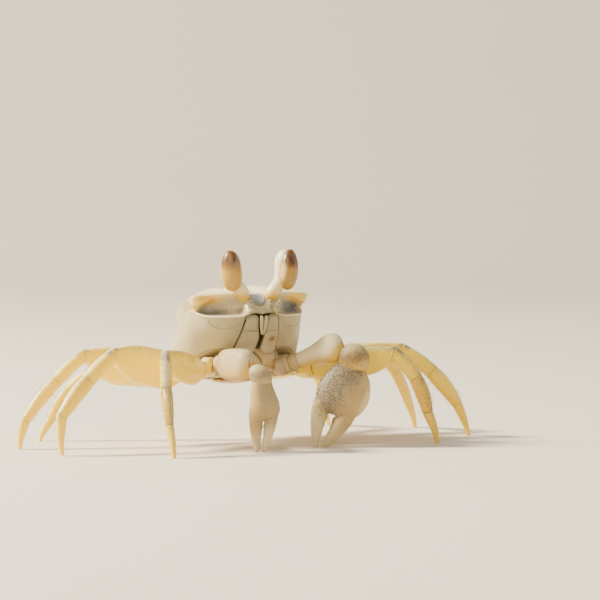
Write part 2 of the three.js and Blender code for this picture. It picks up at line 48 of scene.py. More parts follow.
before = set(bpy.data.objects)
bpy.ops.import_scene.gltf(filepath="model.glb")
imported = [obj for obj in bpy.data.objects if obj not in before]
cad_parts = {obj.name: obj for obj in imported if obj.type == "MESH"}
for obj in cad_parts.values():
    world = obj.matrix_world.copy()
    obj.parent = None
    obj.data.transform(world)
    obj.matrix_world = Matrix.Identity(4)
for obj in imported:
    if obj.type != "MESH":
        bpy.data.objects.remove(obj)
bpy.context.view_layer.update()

MM = 0.001
SIDES = (("left", 1), ("right", -1))
ACROSS = np.array((1.0, 0.0, 0.0))
BACKWARD = np.array((0.0, 1.0, 0.0))
UP = np.array((0.0, 0.0, 1.0))


# ------------------------------------------------------------------------------------- small maths


def vec(*numbers):
    return np.array(numbers, dtype=float)


def unit(vectors):
    return vectors / np.linalg.norm(vectors, axis=-1, keepdims=True)


def lerp(a, b, share):
    return a + (b - a) * share


def smoothstep(value, low, high):
    """A smooth rise from 0 below low to 1 above high."""
    share = np.clip((value - low) / (high - low), 0, 1)
    return share * share * (3 - 2 * share)


def fade(value, low, high):
    """A smooth fall from 1 below low to 0 above high."""
    return 1 - smoothstep(value, low, high)


def bump(value, middle, width):
    """A soft hill of height 1 round a middle value."""
    return np.exp(-(((value - middle) / width) ** 2))


def direction(heading, elevation):
    """Unit vector for a heading in the XY plane (0 = +X, 90 = +Y) and an elevation above it, in degrees."""
    level = cos(radians(elevation))
    return vec(level * cos(radians(heading)), level * sin(radians(heading)), sin(radians(elevation)))


def turned(vector, axis, degrees):
    """The vector turned about a unit axis."""
    angle = radians(degrees)
    along = axis * np.dot(axis, vector) * (1 - cos(angle))
    return vector * cos(angle) + np.cross(axis, vector) * sin(angle) + along


def through(stations, shares):
    """Smooth curve of every column of a table whose first column is its share, at the shares asked for."""
    table = np.array(stations, dtype=float)
    at, values = table[:, 0], table[:, 1:]
    slopes = np.gradient(values, at, axis=0)
    span = np.clip(np.searchsorted(at, shares, side="right") - 1, 0, len(at) - 2)
    width = (at[span + 1] - at[span])[:, None]
    t = (shares - at[span])[:, None] / width
    t2, t3 = t * t, t * t * t
    start, end = values[span], values[span + 1]
    rise, fall = slopes[span] * width, slopes[span + 1] * width
    return (
        start * (2 * t3 - 3 * t2 + 1) + rise * (t3 - 2 * t2 + t)
        + end * (3 * t2 - 2 * t3) + fall * (t3 - t2)
    )


def evenly(values, shares):
    """Smooth curve through evenly spaced numbers or rows of numbers, at the shares asked for."""
    return through(np.column_stack([np.linspace(0, 1, len(values)), values]), shares)


def round_ends(shares, reach):
    """Scale of the rings of a tube that closes to a round end within a reach of both ends."""
    return np.sqrt(np.clip(np.minimum(shares, 1 - shares) / reach, 0.02, 1))


# ------------------------------------------------------------------------------------- the crab's frames

SHELL_WIDTH = 32.8
HALF_WIDTH = SHELL_WIDTH / 2
FRONT_HEIGHT = 35.0
BODY_PITCH = radians(7)
CORNEA_CENTRE = vec(7.95, -0.4, 43.1)


def frame_shift():
    """From the model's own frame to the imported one, whose eyes tell where the middle of the crab lies."""
    corners = [np.array(corner) for side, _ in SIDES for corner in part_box(f"cornea_{side}")]
    middle = sum(corners) / len(corners) / MM
    return vec(middle[0], middle[1] - CORNEA_CENTRE[1], 0)


SHIFT = frame_shift()


def from_body(points):
    """From the body's frame, whose origin is at the front lobe and which is pitched up, to the model's."""
    points = np.asarray(points, dtype=float)
    x, y, z = points[..., 0], points[..., 1], points[..., 2]
    backward = y * cos(BODY_PITCH) + z * sin(BODY_PITCH)
    height = z * cos(BODY_PITCH) - y * sin(BODY_PITCH) + FRONT_HEIGHT
    return np.stack([x, backward, height], axis=-1)


# ------------------------------------------------------------------------------------- skins and pieces


class Skin:
    """Points, faces and painted values of a mesh in the making, in millimetres of the model's frame."""

    def __init__(self):
        self.points = np.zeros((0, 3))
        self.faces = []
        self.paints = {}

    def loft(self, rings, **paints):
        """Adds a closed skin through rings of equal point counts, with a fan at both ends."""
        rows, sides = rings.shape[:2]
        points = np.concatenate([rings.reshape(-1, 3), [rings[0].mean(axis=0), rings[-1].mean(axis=0)]])
        first, last = rows * sides, rows * sides + 1
        here = np.arange(sides)
        ahead = (here + 1) % sides
        starts = np.arange(rows - 1)[:, None] * sides
        below = starts + sides
        quads = np.stack([starts + here, starts + ahead, below + ahead, below + here], axis=-1)
        top = [(first, int(b), int(a)) for a, b in zip(here, ahead)]
        bottom = [(last, int(a), int(b)) for a, b in zip(here + first - sides, ahead + first - sides)]
        faces = quads.reshape(-1, 4).tolist() + top + bottom
        self.add(points, faces, {name: spread(values, rows, sides) for name, values in paints.items()})
        return self

    def add(self, points, faces, paints):
        """Adds points and faces, turned so that the faces point out."""
        fans = np.array([(f[0], f[i], f[i + 1]) for f in faces for i in range(1, len(f) - 1)])
        a, b, c = points[fans[:, 0]], points[fans[:, 1]], points[fans[:, 2]]
        if np.einsum("ij,ij->i", a, np.cross(b, c)).sum() < 0:
            faces = [face[::-1] for face in faces]
        offset = len(self.points)
        self.points = np.concatenate([self.points, points])
        self.faces += [tuple(i + offset for i in face) for face in faces]
        for name in dict.fromkeys([*self.paints, *paints]):
            before = self.paints.get(name, np.zeros(offset))
            self.paints[name] = np.concatenate([before, paints.get(name, np.zeros(len(points)))])

    def mesh(self, name):
        mesh = bpy.data.meshes.new(name)
        mesh.from_pydata(((self.points + SHIFT) * MM).tolist(), [], self.faces)
        paint(mesh, **self.paints)
        mesh.shade_smooth()
        mesh.update()
        return mesh


def spread(values, rows, sides):
    """Painted values of a loft's rings, with those of the two fan centres after them."""
    grid = np.broadcast_to(values, (rows, sides))
    return np.concatenate([grid.reshape(-1), [grid[0].mean(), grid[-1].mean()]])


def paint(mesh, **paints):
    """Gives every point of a mesh its painted values, which the finishes read."""
    for name, values in paints.items():
        attribute = mesh.attributes.new(name, "FLOAT", "POINT")
        attribute.data.foreach_set("value", values.astype(np.float32))


def points_of(mesh):
    """A mesh's points, in millimetres of the model's frame."""
    flat = np.empty(len(mesh.vertices) * 3, dtype=np.float32)
    mesh.vertices.foreach_get("co", flat)
    return flat.reshape(-1, 3) / MM - SHIFT


def new_object(name, data):
    """A new object, linked to the scene."""
    obj = bpy.data.objects.new(name, data)
    bpy.context.scene.collection.objects.link(obj)
    return obj


def made_by_modifiers(helper):
    """Plain mesh of what a helper object's modifiers make. The helper is removed."""
    evaluated = helper.evaluated_get(bpy.context.evaluated_depsgraph_get())
    mesh = bpy.data.meshes.new_from_object(evaluated)
    bpy.data.objects.remove(helper)
    return mesh


def place(name, shape, finish, slot, *nodes):
    """Puts a skin or a finished mesh in the scene as a piece of the crab, in the place of its CAD nodes."""
    mesh = shape.mesh(name) if isinstance(shape, Skin) else shape
    mesh.materials.clear()
    mesh.materials.append(finish)
    obj = new_object(name, mesh)
    if nodes:
        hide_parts(*nodes)
    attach(obj, "root")


def fused(skin, name, voxel, rounds):
    """One skin over lofts that run into each other, as a mesh: remeshed, then smoothed."""
    helper = new_object(name, skin.mesh(name))
    remesh = helper.modifiers.new("one skin", "REMESH")
    remesh.mode = "VOXEL"
    remesh.voxel_size = voxel * MM
    smooth = helper.modifiers.new("soften", "SMOOTH")
    smooth.factor = 0.5
    smooth.iterations = rounds
    mesh = made_by_modifiers(helper)
    mesh.shade_smooth()
    return mesh


# ------------------------------------------------------------------------------------- rings


def ring_angles(sides):
    """Angles of a ring's points, from its u axis towards its v axis."""
    return 2 * pi * (np.arange(sides) + 0.5) / sides


def angles_from_top(sides):
    """How far round a limb's ring each point lies from the upper edge, on either side, as one row."""
    angles = ring_angles(sides)
    return np.minimum(angles, 2 * pi - angles)[None, :]


def rings_round(centres, u, v, a, b, sides, squareness=2.0):
    """Rings of half-sizes a along u and b along v round a row of centres, elliptical or more square."""
    angles = ring_angles(sides)
    c, s = (np.sign(part) * np.abs(part) ** (2 / squareness) for part in (np.cos(angles), np.sin(angles)))
    a, b = np.broadcast_to(a, len(centres)), np.broadcast_to(b, len(centres))
    u, v = np.broadcast_to(u, centres.shape), np.broadcast_to(v, centres.shape)
    along = u[:, None, :] * (a[:, None] * c)[..., None]
    across = v[:, None, :] * (b[:, None] * s)[..., None]
    return centres[:, None, :] + along + across


def ovoid(centre, axis, u, length, a, b, sides, rows, start_swell=0.0, bluntness=1.0):
    """Rings of an ovoid with a long axis and half-sizes a along u and b across it."""
    v = unit(np.cross(axis, u))
    angles = pi * np.linspace(0.004, 0.996, rows)
    along = -np.cos(angles) * length / 2
    swell = np.sin(angles) ** bluntness * (1 + start_swell * np.cos(angles))
    centres = centre + along[:, None] * axis
    return rings_round(centres, u, v, a * swell, b * swell, sides)


def path_points(corners, shares):
    """Points of a smooth path through its corners, and the tangents there."""
    corners = np.array(corners, dtype=float)
    steps = np.linalg.norm(np.diff(corners, axis=0), axis=1)
    at = np.concatenate([[0], np.cumsum(steps)]) / steps.sum()
    table = np.column_stack([at, corners])
    step = 0.002
    tangents = through(table, np.minimum(shares + step, 1)) - through(table, np.maximum(shares - step, 0))
    return through(table, shares), unit(tangents)


def tube(corners, radii, rows, sides, ends=0.02):
    """Rings of a tube along a path, closed to a round end at both ends."""
    shares = np.linspace(0, 1, rows)
    centres, tangents = path_points(corners, shares)
    sizes = evenly(radii, shares)[:, 0] * round_ends(shares, ends)
    u = unit(np.cross(BACKWARD, tangents))
    v = np.cross(tangents, u)
    return rings_round(centres, u, v, sizes, sizes, sides)


# ------------------------------------------------------------------------------------- node graphs


class Value:
    """A socket of a node tree. Arithmetic on it adds Math nodes."""

    def __init__(self, graph, socket):
        self.graph = graph
        self.socket = socket

    def math(self, operation, *values):
        return self.graph.node("ShaderNodeMath", {"operation": operation}, dict(enumerate(values)))

    def __add__(self, other):
        return self.math("ADD", self, other)

    def __radd__(self, other):
        return self.math("ADD", other, self)

    def __sub__(self, other):
        return self.math("SUBTRACT", self, other)

    def __rsub__(self, other):
        return self.math("SUBTRACT", other, self)

    def __mul__(self, other):
        return self.math("MULTIPLY", self, other)

    def __rmul__(self, other):
        return self.math("MULTIPLY", other, self)

    def steps(self, low, high):
        """0 below low, 1 above high and a smooth rise between them."""
        settings = {"interpolation_type": "SMOOTHSTEP"}
        return self.graph.node("ShaderNodeMapRange", settings, {0: self, 1: low, 2: high, 3: 0.0, 4: 1.0})


class Graph:
    """A node tree and the one method that adds nodes to it."""

    def __init__(self, tree):
        self.tree = tree

    def feed(self, node, inputs):
        """Gives inputs of a node their values or links."""
        for key, value in inputs.items():
            if isinstance(value, Value):
                self.tree.links.new(value.socket, node.inputs[key])
            else:
                node.inputs[key].default_value = value

    def node(self, kind, settings=None, inputs=None, output=0):
        """Adds a node with its settings, then the values or links of its inputs, and returns an output."""
        made = self.tree.nodes.new(kind)
        for name, value in (settings or {}).items():
            setattr(made, name, value)
        self.feed(made, inputs or {})
        return Value(self, made.outputs[output]) if made.outputs else made

    def painted(self, name):
        """A painted value of the mesh."""
        return self.node("ShaderNodeAttribute", {"attribute_name": name}, output="Fac")

    def position(self):
        return self.node("ShaderNodeTexCoord", output="Object")

    def noise(self, size, detail=2.0, roughness=0.5, stretch=(1, 1, 1)):
        """Noise about 0.5 whose grain is about that size in metres."""
        spot = self.node("ShaderNodeMapping", {}, {"Vector": self.position(), "Scale": stretch})
        inputs = {"Vector": spot, "Scale": 1 / size, "Detail": detail, "Roughness": roughness}
        return self.node("ShaderNodeTexNoise", {}, inputs)

    def cells(self, size):
        """Distance from the nearest of a cloud of points about that far apart, in metres."""
        inputs = {"Vector": self.position(), "Scale": 1 / size}
        return self.node("ShaderNodeTexVoronoi", {}, inputs)

    def mix(self, factor, first, second):
        """One colour laid over another."""
        inputs = {0: factor, 6: first, 7: second}
        return self.node("ShaderNodeMix", {"data_type": "RGBA"}, inputs, output=2)

    def relief(self, height, strength, distance):
        """Normals of a surface that bulges with a height, by up to a distance in metres."""
        inputs = {"Strength": strength, "Distance": distance, "Height": height}
        return self.node("ShaderNodeBump", {}, inputs)


def tone(red, green, blue):
    """A colour given as a screen shows it, in linear light."""
    parts = np.array([red, green, blue]) / 255
    linear = np.where(parts <= 0.04045, parts / 12.92, ((parts + 0.055) / 1.055) ** 2.4)
    return (*linear.tolist(), 1.0)


# ------------------------------------------------------------------------------------- sizes and colours


def size_property(name, description, default):
    """A length that a user may change, in metres, from a default in millimetres."""
    return bpy.props.FloatProperty(
        name=name, description=description, default=default * MM, unit="LENGTH", subtype="DISTANCE",
        min=0.0, precision=5,
    )


def colour_property(name, description, *default):
    """A colour that a user may change, from a default as a screen shows it."""
    return bpy.props.FloatVectorProperty(
        name=name, description=description, default=tone(*default), subtype="COLOR", size=4,
        min=0.0, max=1.0,
    )


class CrabSizes(bpy.types.PropertyGroup):
    """Sizes of the fine shapes that the frame leaves open."""

    orbit_depth: size_property("Eye socket depth", "How deep the sockets under the front edge are", 3.0)
    orbit_band: size_property("Socket roof", "Height of the edge that hangs over each eye socket", 2.0)
    mouth_depth: size_property("Mouth frame depth", "How far the mouth frame lies behind the face", 1.6)
    rim_bead: size_property("Socket rim", "Height of the bead along the lower rim of each eye socket", 0.16)
    granule: size_property("Granule", "Radius of the largest granules on the big claw", 0.2)
    bristle: size_property("Bristle", "Length of the longest bristles on the legs", 1.1)


class CrabColours(bpy.types.PropertyGroup):
    """Colours of the living crab and of the floor under it."""

    cream: colour_property("Cream", "Front and sides of the shell", 192, 178, 138)
    # Pearl also paints highlights along the socket rims, the legs' edges and a knob on each leg's merus.
    pearl: colour_property("Pearl", "Crown of the shell, rims and edges", 242, 229, 184)
    # Gold also paints the light in the upper part of each eye socket.
    gold: colour_property("Gold", "Thin, translucent parts of the socket roofs", 240, 200, 62)
    # Olive brown also paints shade in the mouth recess, along the hem, beside the mouth, in the furrows and
    # on the limb bases.
    olive: colour_property("Olive brown", "Sutures and outlines", 52, 36, 12)
    # Slate also paints shade low in the eye sockets, on the front lobe and on the limb bases.
    slate: colour_property("Slate", "Bluish grey in the sockets and on the front lobe", 104, 108, 114)
    # Rust also paints shade under the socket roofs and on the outer corner of the crab's right band.
    rust: colour_property("Rust", "Warm brown spots", 160, 92, 34)
    belly: colour_property("Belly", "Breastplate, tail flap and limb bases", 204, 176, 122)
    leg: colour_property("Leg", "Upper edges of the walking legs, under the pearl", 255, 228, 86)
    leg_gold: colour_property("Leg gold", "Flat, translucent sides of the walking legs", 255, 219, 46)
    joint: colour_property("Joint skin", "Soft skin in the joints", 206, 172, 98)
    claw: colour_property("Claw", "Arms, wrists and hands of the claws", 184, 160, 100)
    claw_gold: colour_property("Claw gold", "Cuffs and undersides of the claws", 222, 176, 52)
    stalk: colour_property("Eyestalk", "Eyestalks", 236, 216, 160)
    stalk_gold: colour_property("Eyestalk gold", "Bases of the eyestalks", 216, 176, 26)
    eye_top: colour_property("Eye, upper part", "Brown upper part of the left cornea", 72, 40, 10)
    eye_low: colour_property("Eye, lower part", "Tan lower part of the cornea", 184, 142, 42)
    granule: colour_property("Granules", "Beads on the claws and legs", 92, 74, 50)
    bristle: colour_property("Bristles", "Stiff hairs of the legs and sockets", 92, 80, 60)
    floor: colour_property("Floor", "Floor and backdrop", 226, 216, 202)


def colour(name):
    """One of the crab's colours, as it stands now."""
    return tuple(getattr(bpy.context.scene.crab_colours, name))


# ------------------------------------------------------------------------------------- finishes


def new_finish(name):
    """A new material, its graph and its shader."""
    made = bpy.data.materials.new(name)
    made.use_nodes = True
    shader = made.node_tree.nodes["Principled BSDF"]
    return made, Graph(made.node_tree), shader


def cuticle(name, base, gold, roughness=0.42, mottle=0.5, waxy=0.35, coat=0.15):
    """Crab shell: a mottled base under painted gold, rust, pearl, slate and olive, finely grained."""
    ready = bpy.data.materials.get(name)
    if ready:
        return ready
    made, graph, shader = new_finish(name)
    names = ("glow", "rust", "pearl", "slate", "crease", "granular", "dorsal")
    glow, rust, pearl, slate, crease, granular, dorsal = (graph.painted(name) for name in names)
    cloud = graph.noise(0.0042, 3.0, 0.6)
    fleck = graph.noise(0.0009, 3.0, 0.6)
    ragged = (fleck - 0.5) * 0.5
    deep = (*(0.62 * part for part in base[:3]), 1.0)
    skin = graph.mix(cloud.steps(0.4, 0.75) * mottle, base, deep)
    # These layers also paint light and shade: rust, slate and olive paint shade, pearl paints highlights,
    # gold paints light in the sockets.
    skin = graph.mix((glow + glow * ragged).steps(0.0, 1.0), skin, gold)
    skin = graph.mix(rust * (fleck + 0.4), skin, colour("rust"))
    skin = graph.mix(pearl + pearl * ragged * 0.4, skin, colour("pearl"))
    skin = graph.mix(slate * (cloud * 0.6 + 0.7), skin, colour("slate"))
    skin = graph.mix(crease * (fleck * 0.5 + 0.75), skin, colour("olive"))
    dots = (1 - graph.cells(0.00055).steps(0.2, 0.42)) * granular
    skin = graph.mix(dots * 0.7, skin, tone(116, 92, 54))
    specks = graph.noise(0.0007, 2.0, 0.6).steps(0.48, 0.66) * (cloud * 1.2) * dorsal
    skin = graph.mix(specks * 0.85, skin, tone(122, 104, 70))
    grain = graph.cells(0.00042).steps(0.0, 0.7) * 0.6 + graph.noise(0.0003) * 0.4
    pits = graph.cells(0.0008).steps(0.1, 0.5) * dorsal * 1.6
    graph.feed(shader, {
        "Base Color": skin,
        "Roughness": roughness + (cloud - 0.5) * 0.25 + crease * 0.2,
        "Normal": graph.relief(grain - pits, 0.35, 0.00008),
        "Subsurface Weight": waxy,
        "Subsurface Radius": (1.0, 0.8, 0.42),
        "Subsurface Scale": 0.0016,
        "Coat Weight": coat,
        "Coat Roughness": 0.25,
    })
    return made


def shell_finish():
    return cuticle("shell_cuticle", colour("cream"), colour("gold"), mottle=0.3)


def belly_finish():
    return cuticle("belly_cuticle", colour("belly"), colour("gold"), roughness=0.5, waxy=0.3)


def leg_finish():
    return cuticle("leg_cuticle", colour("leg"), colour("leg_gold"), roughness=0.36, mottle=0.25, waxy=0.5)


def claw_finish():
    return cuticle("claw_cuticle", colour("claw"), colour("claw_gold"), roughness=0.56, waxy=0.2, coat=0.03)


def stalk_finish():
    base, gold = colour("stalk"), colour("stalk_gold")
    return cuticle("stalk_cuticle", base, gold, roughness=0.34, mottle=0.2, waxy=0.5)


def joint_finish():
    """Soft skin, darker and duller than the shell."""
    return cuticle("joint_skin", colour("joint"), colour("gold"), roughness=0.6, waxy=0.3, coat=0.0)


def plain_finish(name, base, roughness):
    """One colour all over, for shapes too small to carry a pattern."""
    made, graph, shader = new_finish(name)
    graph.feed(shader, {"Base Color": base, "Roughness": roughness})
    return made


# ------------------------------------------------------------------------------------- carapace

# Three outlines in plan, each a superellipse round the same middle, squarer in front than behind.
SHELL_MIDDLE = 12.5
RIDGE = {"half": HALF_WIDTH - 0.2, "front": 1.7, "back": 27.2, "front_power": 9, "taper": 0.15}
RIM = {"half": HALF_WIDTH - 0.8, "front": -1.7, "back": 27.6, "front_power": 2.5, "taper": 0.09}
HEM = {"half": HALF_WIDTH, "front": 3.4, "back": 26.8, "front_power": 1.9, "taper": 0.0}
BACK_POWER = 2.4
TAPER_LENGTH = 18
RIDGE_HEIGHT = 2.8
RIM_DROP = 3.2
HEM_DROP = 10.7
HEM_STEP = 2.1
HEM_TUCK = 1.5
DOME_TOP = 5.3
CROWN = vec(0, SHELL_MIDDLE, 0)
TOOTH_ANGLE = radians(-33.6)
TOOTH_REACH = 1.05
TOOTH_TUCK = 1.1
LOBE_HALF = 2.1
LOBE_DROP = 3.1
RIM_LEAD = 0.186

# Angle, either way from straight ahead, at which the eye sockets end beside the pointed corners.
SOCKET_END = 1.0

MOUTH_TOP = -2.75
MOUTH_BOTTOM = -11.4
MOUTH_HALF_TOP = 4.5
MOUTH_HALF_BOTTOM = 6.1

# Rings of the carapace: the back, the bands over the sockets, the sockets' walls, the flanks and the floor,
# whose rings lie at shares of the way from the middle to the hem. The bands' colour starts a few rings above
# them.
COLUMNS = 480
DOME_ROWS = 44
BAND_ROWS = 14
WALL_ROWS = 59
FLANK_ROWS = 77
BAND_BLEND = 12
FLOOR_SHARES = vec(0.99, 0.975, 0.95, 0.86, 0.6, 0.3, 0.05)
WALL_START = DOME_ROWS + BAND_ROWS
FLANK_START = WALL_START + WALL_ROWS
HEM_ROW = FLANK_START + FLANK_ROWS - 1
DOME = slice(0, DOME_ROWS)
WALL = slice(WALL_START, FLANK_START)


def outline(shape, angles, taper_from=6):
    """An outline in plan, which narrows towards the back."""
    across, along = np.abs(np.cos(angles)), np.abs(np.sin(angles))
    in_front = np.sin(angles) < 0
    power = np.where(in_front, shape["front_power"], BACK_POWER)
    reach = np.where(in_front, SHELL_MIDDLE - shape["front"], shape["back"] - SHELL_MIDDLE)
    radius = ((across / shape["half"]) ** power + (along / reach) ** power) ** (-1 / power)
    y = SHELL_MIDDLE + radius * np.sin(angles)
    taper = shape["taper"] * smoothstep(y, taper_from, taper_from + TAPER_LENGTH)
    x = radius * np.cos(angles) * (1 - taper)
    return np.stack([x, y, np.zeros_like(x)], axis=-1)


def led(angles):
    """The angles at which the rim and the hem lie below the ridge: further back beside the sockets' ends."""
    turn = angles + pi / 2
    return angles + np.sign(turn) * RIM_LEAD * bump(np.abs(turn), pi / 2 + TOOTH_ANGLE, 0.5)


def in_lobe(x):
    """1 in the middle of the front lobe, fading to 0 beside it."""
    return np.exp(-((np.abs(x) / LOBE_HALF) ** 3))


def lobe_tip(x):
    """Height of the front lobe's edge across the middle of the front."""
    return RIDGE_HEIGHT - LOBE_DROP * in_lobe(x)


def ridge_line(angles):
    """The ridge round the back: a sloping front edge, a pointed corner and a narrow lobe in the middle."""
    line = outline(RIDGE, angles, 8)
    side = np.abs(line[:, 0]) / HALF_WIDTH
    in_front = smoothstep(SHELL_MIDDLE - line[:, 1], 0, 6)
    lobe = in_lobe(line[:, 0]) * in_front
    from_side = np.arctan2(np.sin(angles), np.abs(np.cos(angles)))
    tooth = TOOTH_REACH * bump(from_side, TOOTH_ANGLE, 0.08)
    line[:, 0] += np.sign(line[:, 0]) * tooth
    line[:, 1] += in_front * 2.8 * side**2 - 1.7 * lobe - 0.5 * tooth
    back = np.maximum(line[:, 1], 0)
    fall = 0.0123 * np.minimum(back, 12) ** 2 + 0.24 * np.maximum(back - 12, 0)
    line[:, 2] = RIDGE_HEIGHT - 0.3 * side**2 - fall - LOBE_DROP * lobe
    return line


def rim_line(angles):
    """The lower rims of the eye sockets, which rise at their outer ends."""
    line = outline(RIM, led(angles))
    side = np.abs(line[:, 0])
    line[:, 2] = -RIM_DROP + 1.2 * (side / HALF_WIDTH) ** 3 - 0.004 * np.maximum(line[:, 1], 0) ** 2
    from_front = np.abs(angles + pi / 2)
    corner = np.clip((from_front - SOCKET_END + 0.28) / 0.32, 0, 1) ** 2
    corner = corner * fade(from_front, SOCKET_END + 0.1, SOCKET_END + 0.6)
    line[:, 2] += 1.9 * corner + 0.7 * bump(side, 3.6, 1.4) * (line[:, 1] < 5)
    return line


def hem_level(y):
    """The lower edge, which steps down behind the mouth."""
    return -HEM_DROP - HEM_STEP * smoothstep(y, 6.3, 10.8)


def hem_line(angles):
    line = outline(HEM, led(angles))
    line[:, 2] = hem_level(line[:, 1])
    return line


def mouth_half(z):
    """Half the width of the mouth frame at a level."""
    return lerp(MOUTH_HALF_TOP, MOUTH_HALF_BOTTOM, (MOUTH_TOP - z) / (MOUTH_TOP - MOUTH_BOTTOM))


def mouth_top(x):
    """The mouth frame's upper edge: one arch over each outer mouthpart, meeting in a low point."""
    side = np.abs(x) / MOUTH_HALF_TOP
    return MOUTH_TOP + 0.25 - 0.35 * bump(x, 0, 0.6) - 0.9 * smoothstep(side, 0.5, 1.05)


def inside_mouth(x, z):
    """How far a point of the face lies inside the mouth frame."""
    beside = mouth_half(z) - np.abs(x)
    below = mouth_top(x) - z
    return np.minimum(beside, below)


def soften_rows(rings, row, reach, rounds):
    """Rounds the edge that a row of points makes with the rows beside it."""
    part = slice(row - reach, row + reach)
    weight = np.sin(pi * np.linspace(0, 1, 2 * reach))[:, None, None]
    for _ in range(rounds):
        before, after = rings[row - reach - 1:row + reach - 1], rings[row - reach + 1:row + reach + 1]
        rings[part] = lerp(rings[part], (before + after) / 2, 0.5 * weight)


def steps_down(rows):
    """Shares of the way down at which rows of points lie, the last one at 1, as a column."""
    return np.linspace(0, 1, rows + 1)[1:, None]


class Carapace:
    """Rings from the crown over the ridge, sockets and flanks to the floor, and their painted values."""

    def __init__(self, sizes):
        self.sizes = sizes
        turn = 2 * (np.arange(COLUMNS) + 0.5) / COLUMNS - 1
        self.angles = -pi / 2 + pi * turn * (0.7 + 0.3 * turn**2)
        self.from_front = np.abs(self.angles + pi / 2)
        self.ridge, self.rim, self.hem = (line(self.angles) for line in (ridge_line, rim_line, hem_line))
        self.beside_lobe = smoothstep(np.abs(self.ridge[:, 0]), 2.6, 4.2)
        self.window = self.beside_lobe * fade(self.from_front, SOCKET_END - 0.2, SOCKET_END + 0.03)
        self.margin = self.beside_lobe * fade(self.from_front, SOCKET_END + 0.02, SOCKET_END + 0.14)

        # How far down a socket's wall each ring lies, and how far it is hollowed, 1 where that is deepest.
        self.fall = (1 - np.cos(pi * steps_down(WALL_ROWS))) / 2
        self.bow = 3.63 * self.fall**1.6 * np.clip(1 - self.fall, 0, 1) ** 0.6

        self.bottom = self.band_bottom()
        self.tuck = self.hem_tuck()
        self.rings = np.concatenate([self.dome(), self.band(), self.wall(), self.flank(), self.floor()])
        soften_rows(self.rings, DOME_ROWS, reach=9, rounds=14)
        self.x, self.y, self.z = (self.rings[..., i] for i in range(3))
        self.side = np.abs(self.x)
        self.on_face = (self.y < 6) & (self.z < -1)
        self.inside = np.where(self.on_face, inside_mouth(self.x, self.z), -9)
        self.recess = smoothstep(self.inside, -0.05, 0.35)
        self.y += sizes.mouth_depth / MM * self.recess

    def dome(self):
        """The back, from the crown to the ridge, with its shallow furrows."""
        shares = 1 - (1 - np.linspace(0.02, 1, DOME_ROWS)[:, None]) ** 1.3
        dome = CROWN + (self.ridge - CROWN) * shares[..., None]
        dome[..., 2] = DOME_TOP + (self.ridge[:, 2] - DOME_TOP) * shares**2.3
        x, y = np.abs(dome[..., 0]), dome[..., 1]
        furrow = bump(x, 4.4 + 0.05 * (y - 13) ** 2, 0.9) * smoothstep(y, 4, 8) * fade(y, 19, 23)
        furrow += bump(y, 13.5, 0.8) * fade(x, 3.5, 5.5)
        furrow += 0.6 * bump(y, 7.5 + 0.3 * x, 0.8) * smoothstep(x, 5, 7) * fade(x, 10, 13)
        dome[..., 2] -= 0.3 * furrow
        self.furrow = furrow
        return dome

    def band_bottom(self):
        """The lower edge of the bands that hang over the sockets, tucked in under the pointed corners."""
        x = self.ridge[:, 0]
        height = self.sizes.orbit_band / MM * self.margin * (0.15 + 0.85 * smoothstep(np.abs(x), 10, 15.5))
        tuck = TOOTH_TUCK * self.margin * bump(self.from_front, pi / 2 + TOOTH_ANGLE, 0.1)
        return self.ridge + np.stack([-np.sign(x) * tuck, 0.12 * height, -height], axis=-1)

    def band(self):
        """The bands over the sockets, from the ridge down, a little crowned."""
        shares = steps_down(BAND_ROWS)
        band = self.ridge + (self.bottom - self.ridge) * shares[..., None]
        band[..., 1] -= 0.1 * np.sin(pi * shares) * self.margin
        return band

    def wall(self):
        """The sockets' walls, hollowed between the bands and the lower rims."""
        wall = self.bottom + (self.rim - self.bottom) * self.fall[..., None]
        x = self.rim[:, 0]
        inward = unit(np.stack([-0.3 * np.sign(x), np.full(COLUMNS, 0.95), np.full(COLUMNS, 0.05)], axis=-1))
        depth = self.sizes.orbit_depth / MM * self.window
        return wall + (inward * depth[:, None]) * self.bow[..., None]

    def hem_tuck(self):
        """How far the lower edge is drawn in beside the mouth."""
        x, y = self.hem[:, 0], self.hem[:, 1]
        tuck = HEM_TUCK * smoothstep(14 - y, 0, 4) * smoothstep(np.abs(x), 6, 13)
        return (-np.sign(x) * tuck)[:, None] * ACROSS

    def flank(self):
        """The sides from the lower rims down to the hem, with a bead along the rims."""
        shares = steps_down(FLANK_ROWS)[..., None]
        flank = self.rim + (self.hem - self.rim) * shares + self.tuck * shares**2.2
        away = np.stack([np.cos(self.angles), np.sin(self.angles), np.zeros(COLUMNS)], axis=-1)
        bead = self.sizes.rim_bead / MM * bump(shares[..., 0], 0.035, 0.03) * fade(self.from_front, 1.0, 1.3)
        return flank + away * (0.7 * np.sin(pi * shares) + bead[..., None])

    def floor(self):
        """The underside, which closes the shell between the hem and the middle."""
        shares = FLOOR_SHARES[:, None]
        floor = CROWN + (self.hem + self.tuck - CROWN) * shares[..., None]
        floor[..., 2] = hem_level(floor[..., 1]) - 0.35 * (1 - np.exp(-(1 - shares) / 0.01))
        return floor

    def laid(self, rows, values):
        """Painted values on some rows, with 0 elsewhere."""
        grid = np.zeros(self.side.shape)
        grid[rows] = values
        return grid

    def paints(self):
        """The colours of the living shell, with painted light and shade, as painted values for its finish.
        """
        x, y, z, side = self.x, self.y, self.z, self.side
        onto_band = np.linspace(0, 1.5, BAND_BLEND + BAND_ROWS).clip(0, 1)[:, None]
        on_band = self.laid(slice(DOME_ROWS - BAND_BLEND, WALL_START), self.margin * onto_band)
        down, hollow = self.laid(WALL, self.fall), self.laid(WALL, self.bow * self.window)
        ends = self.laid(WALL, bump(self.from_front, SOCKET_END + 0.02, 0.07))
        under_roof = self.window * (down > 0)
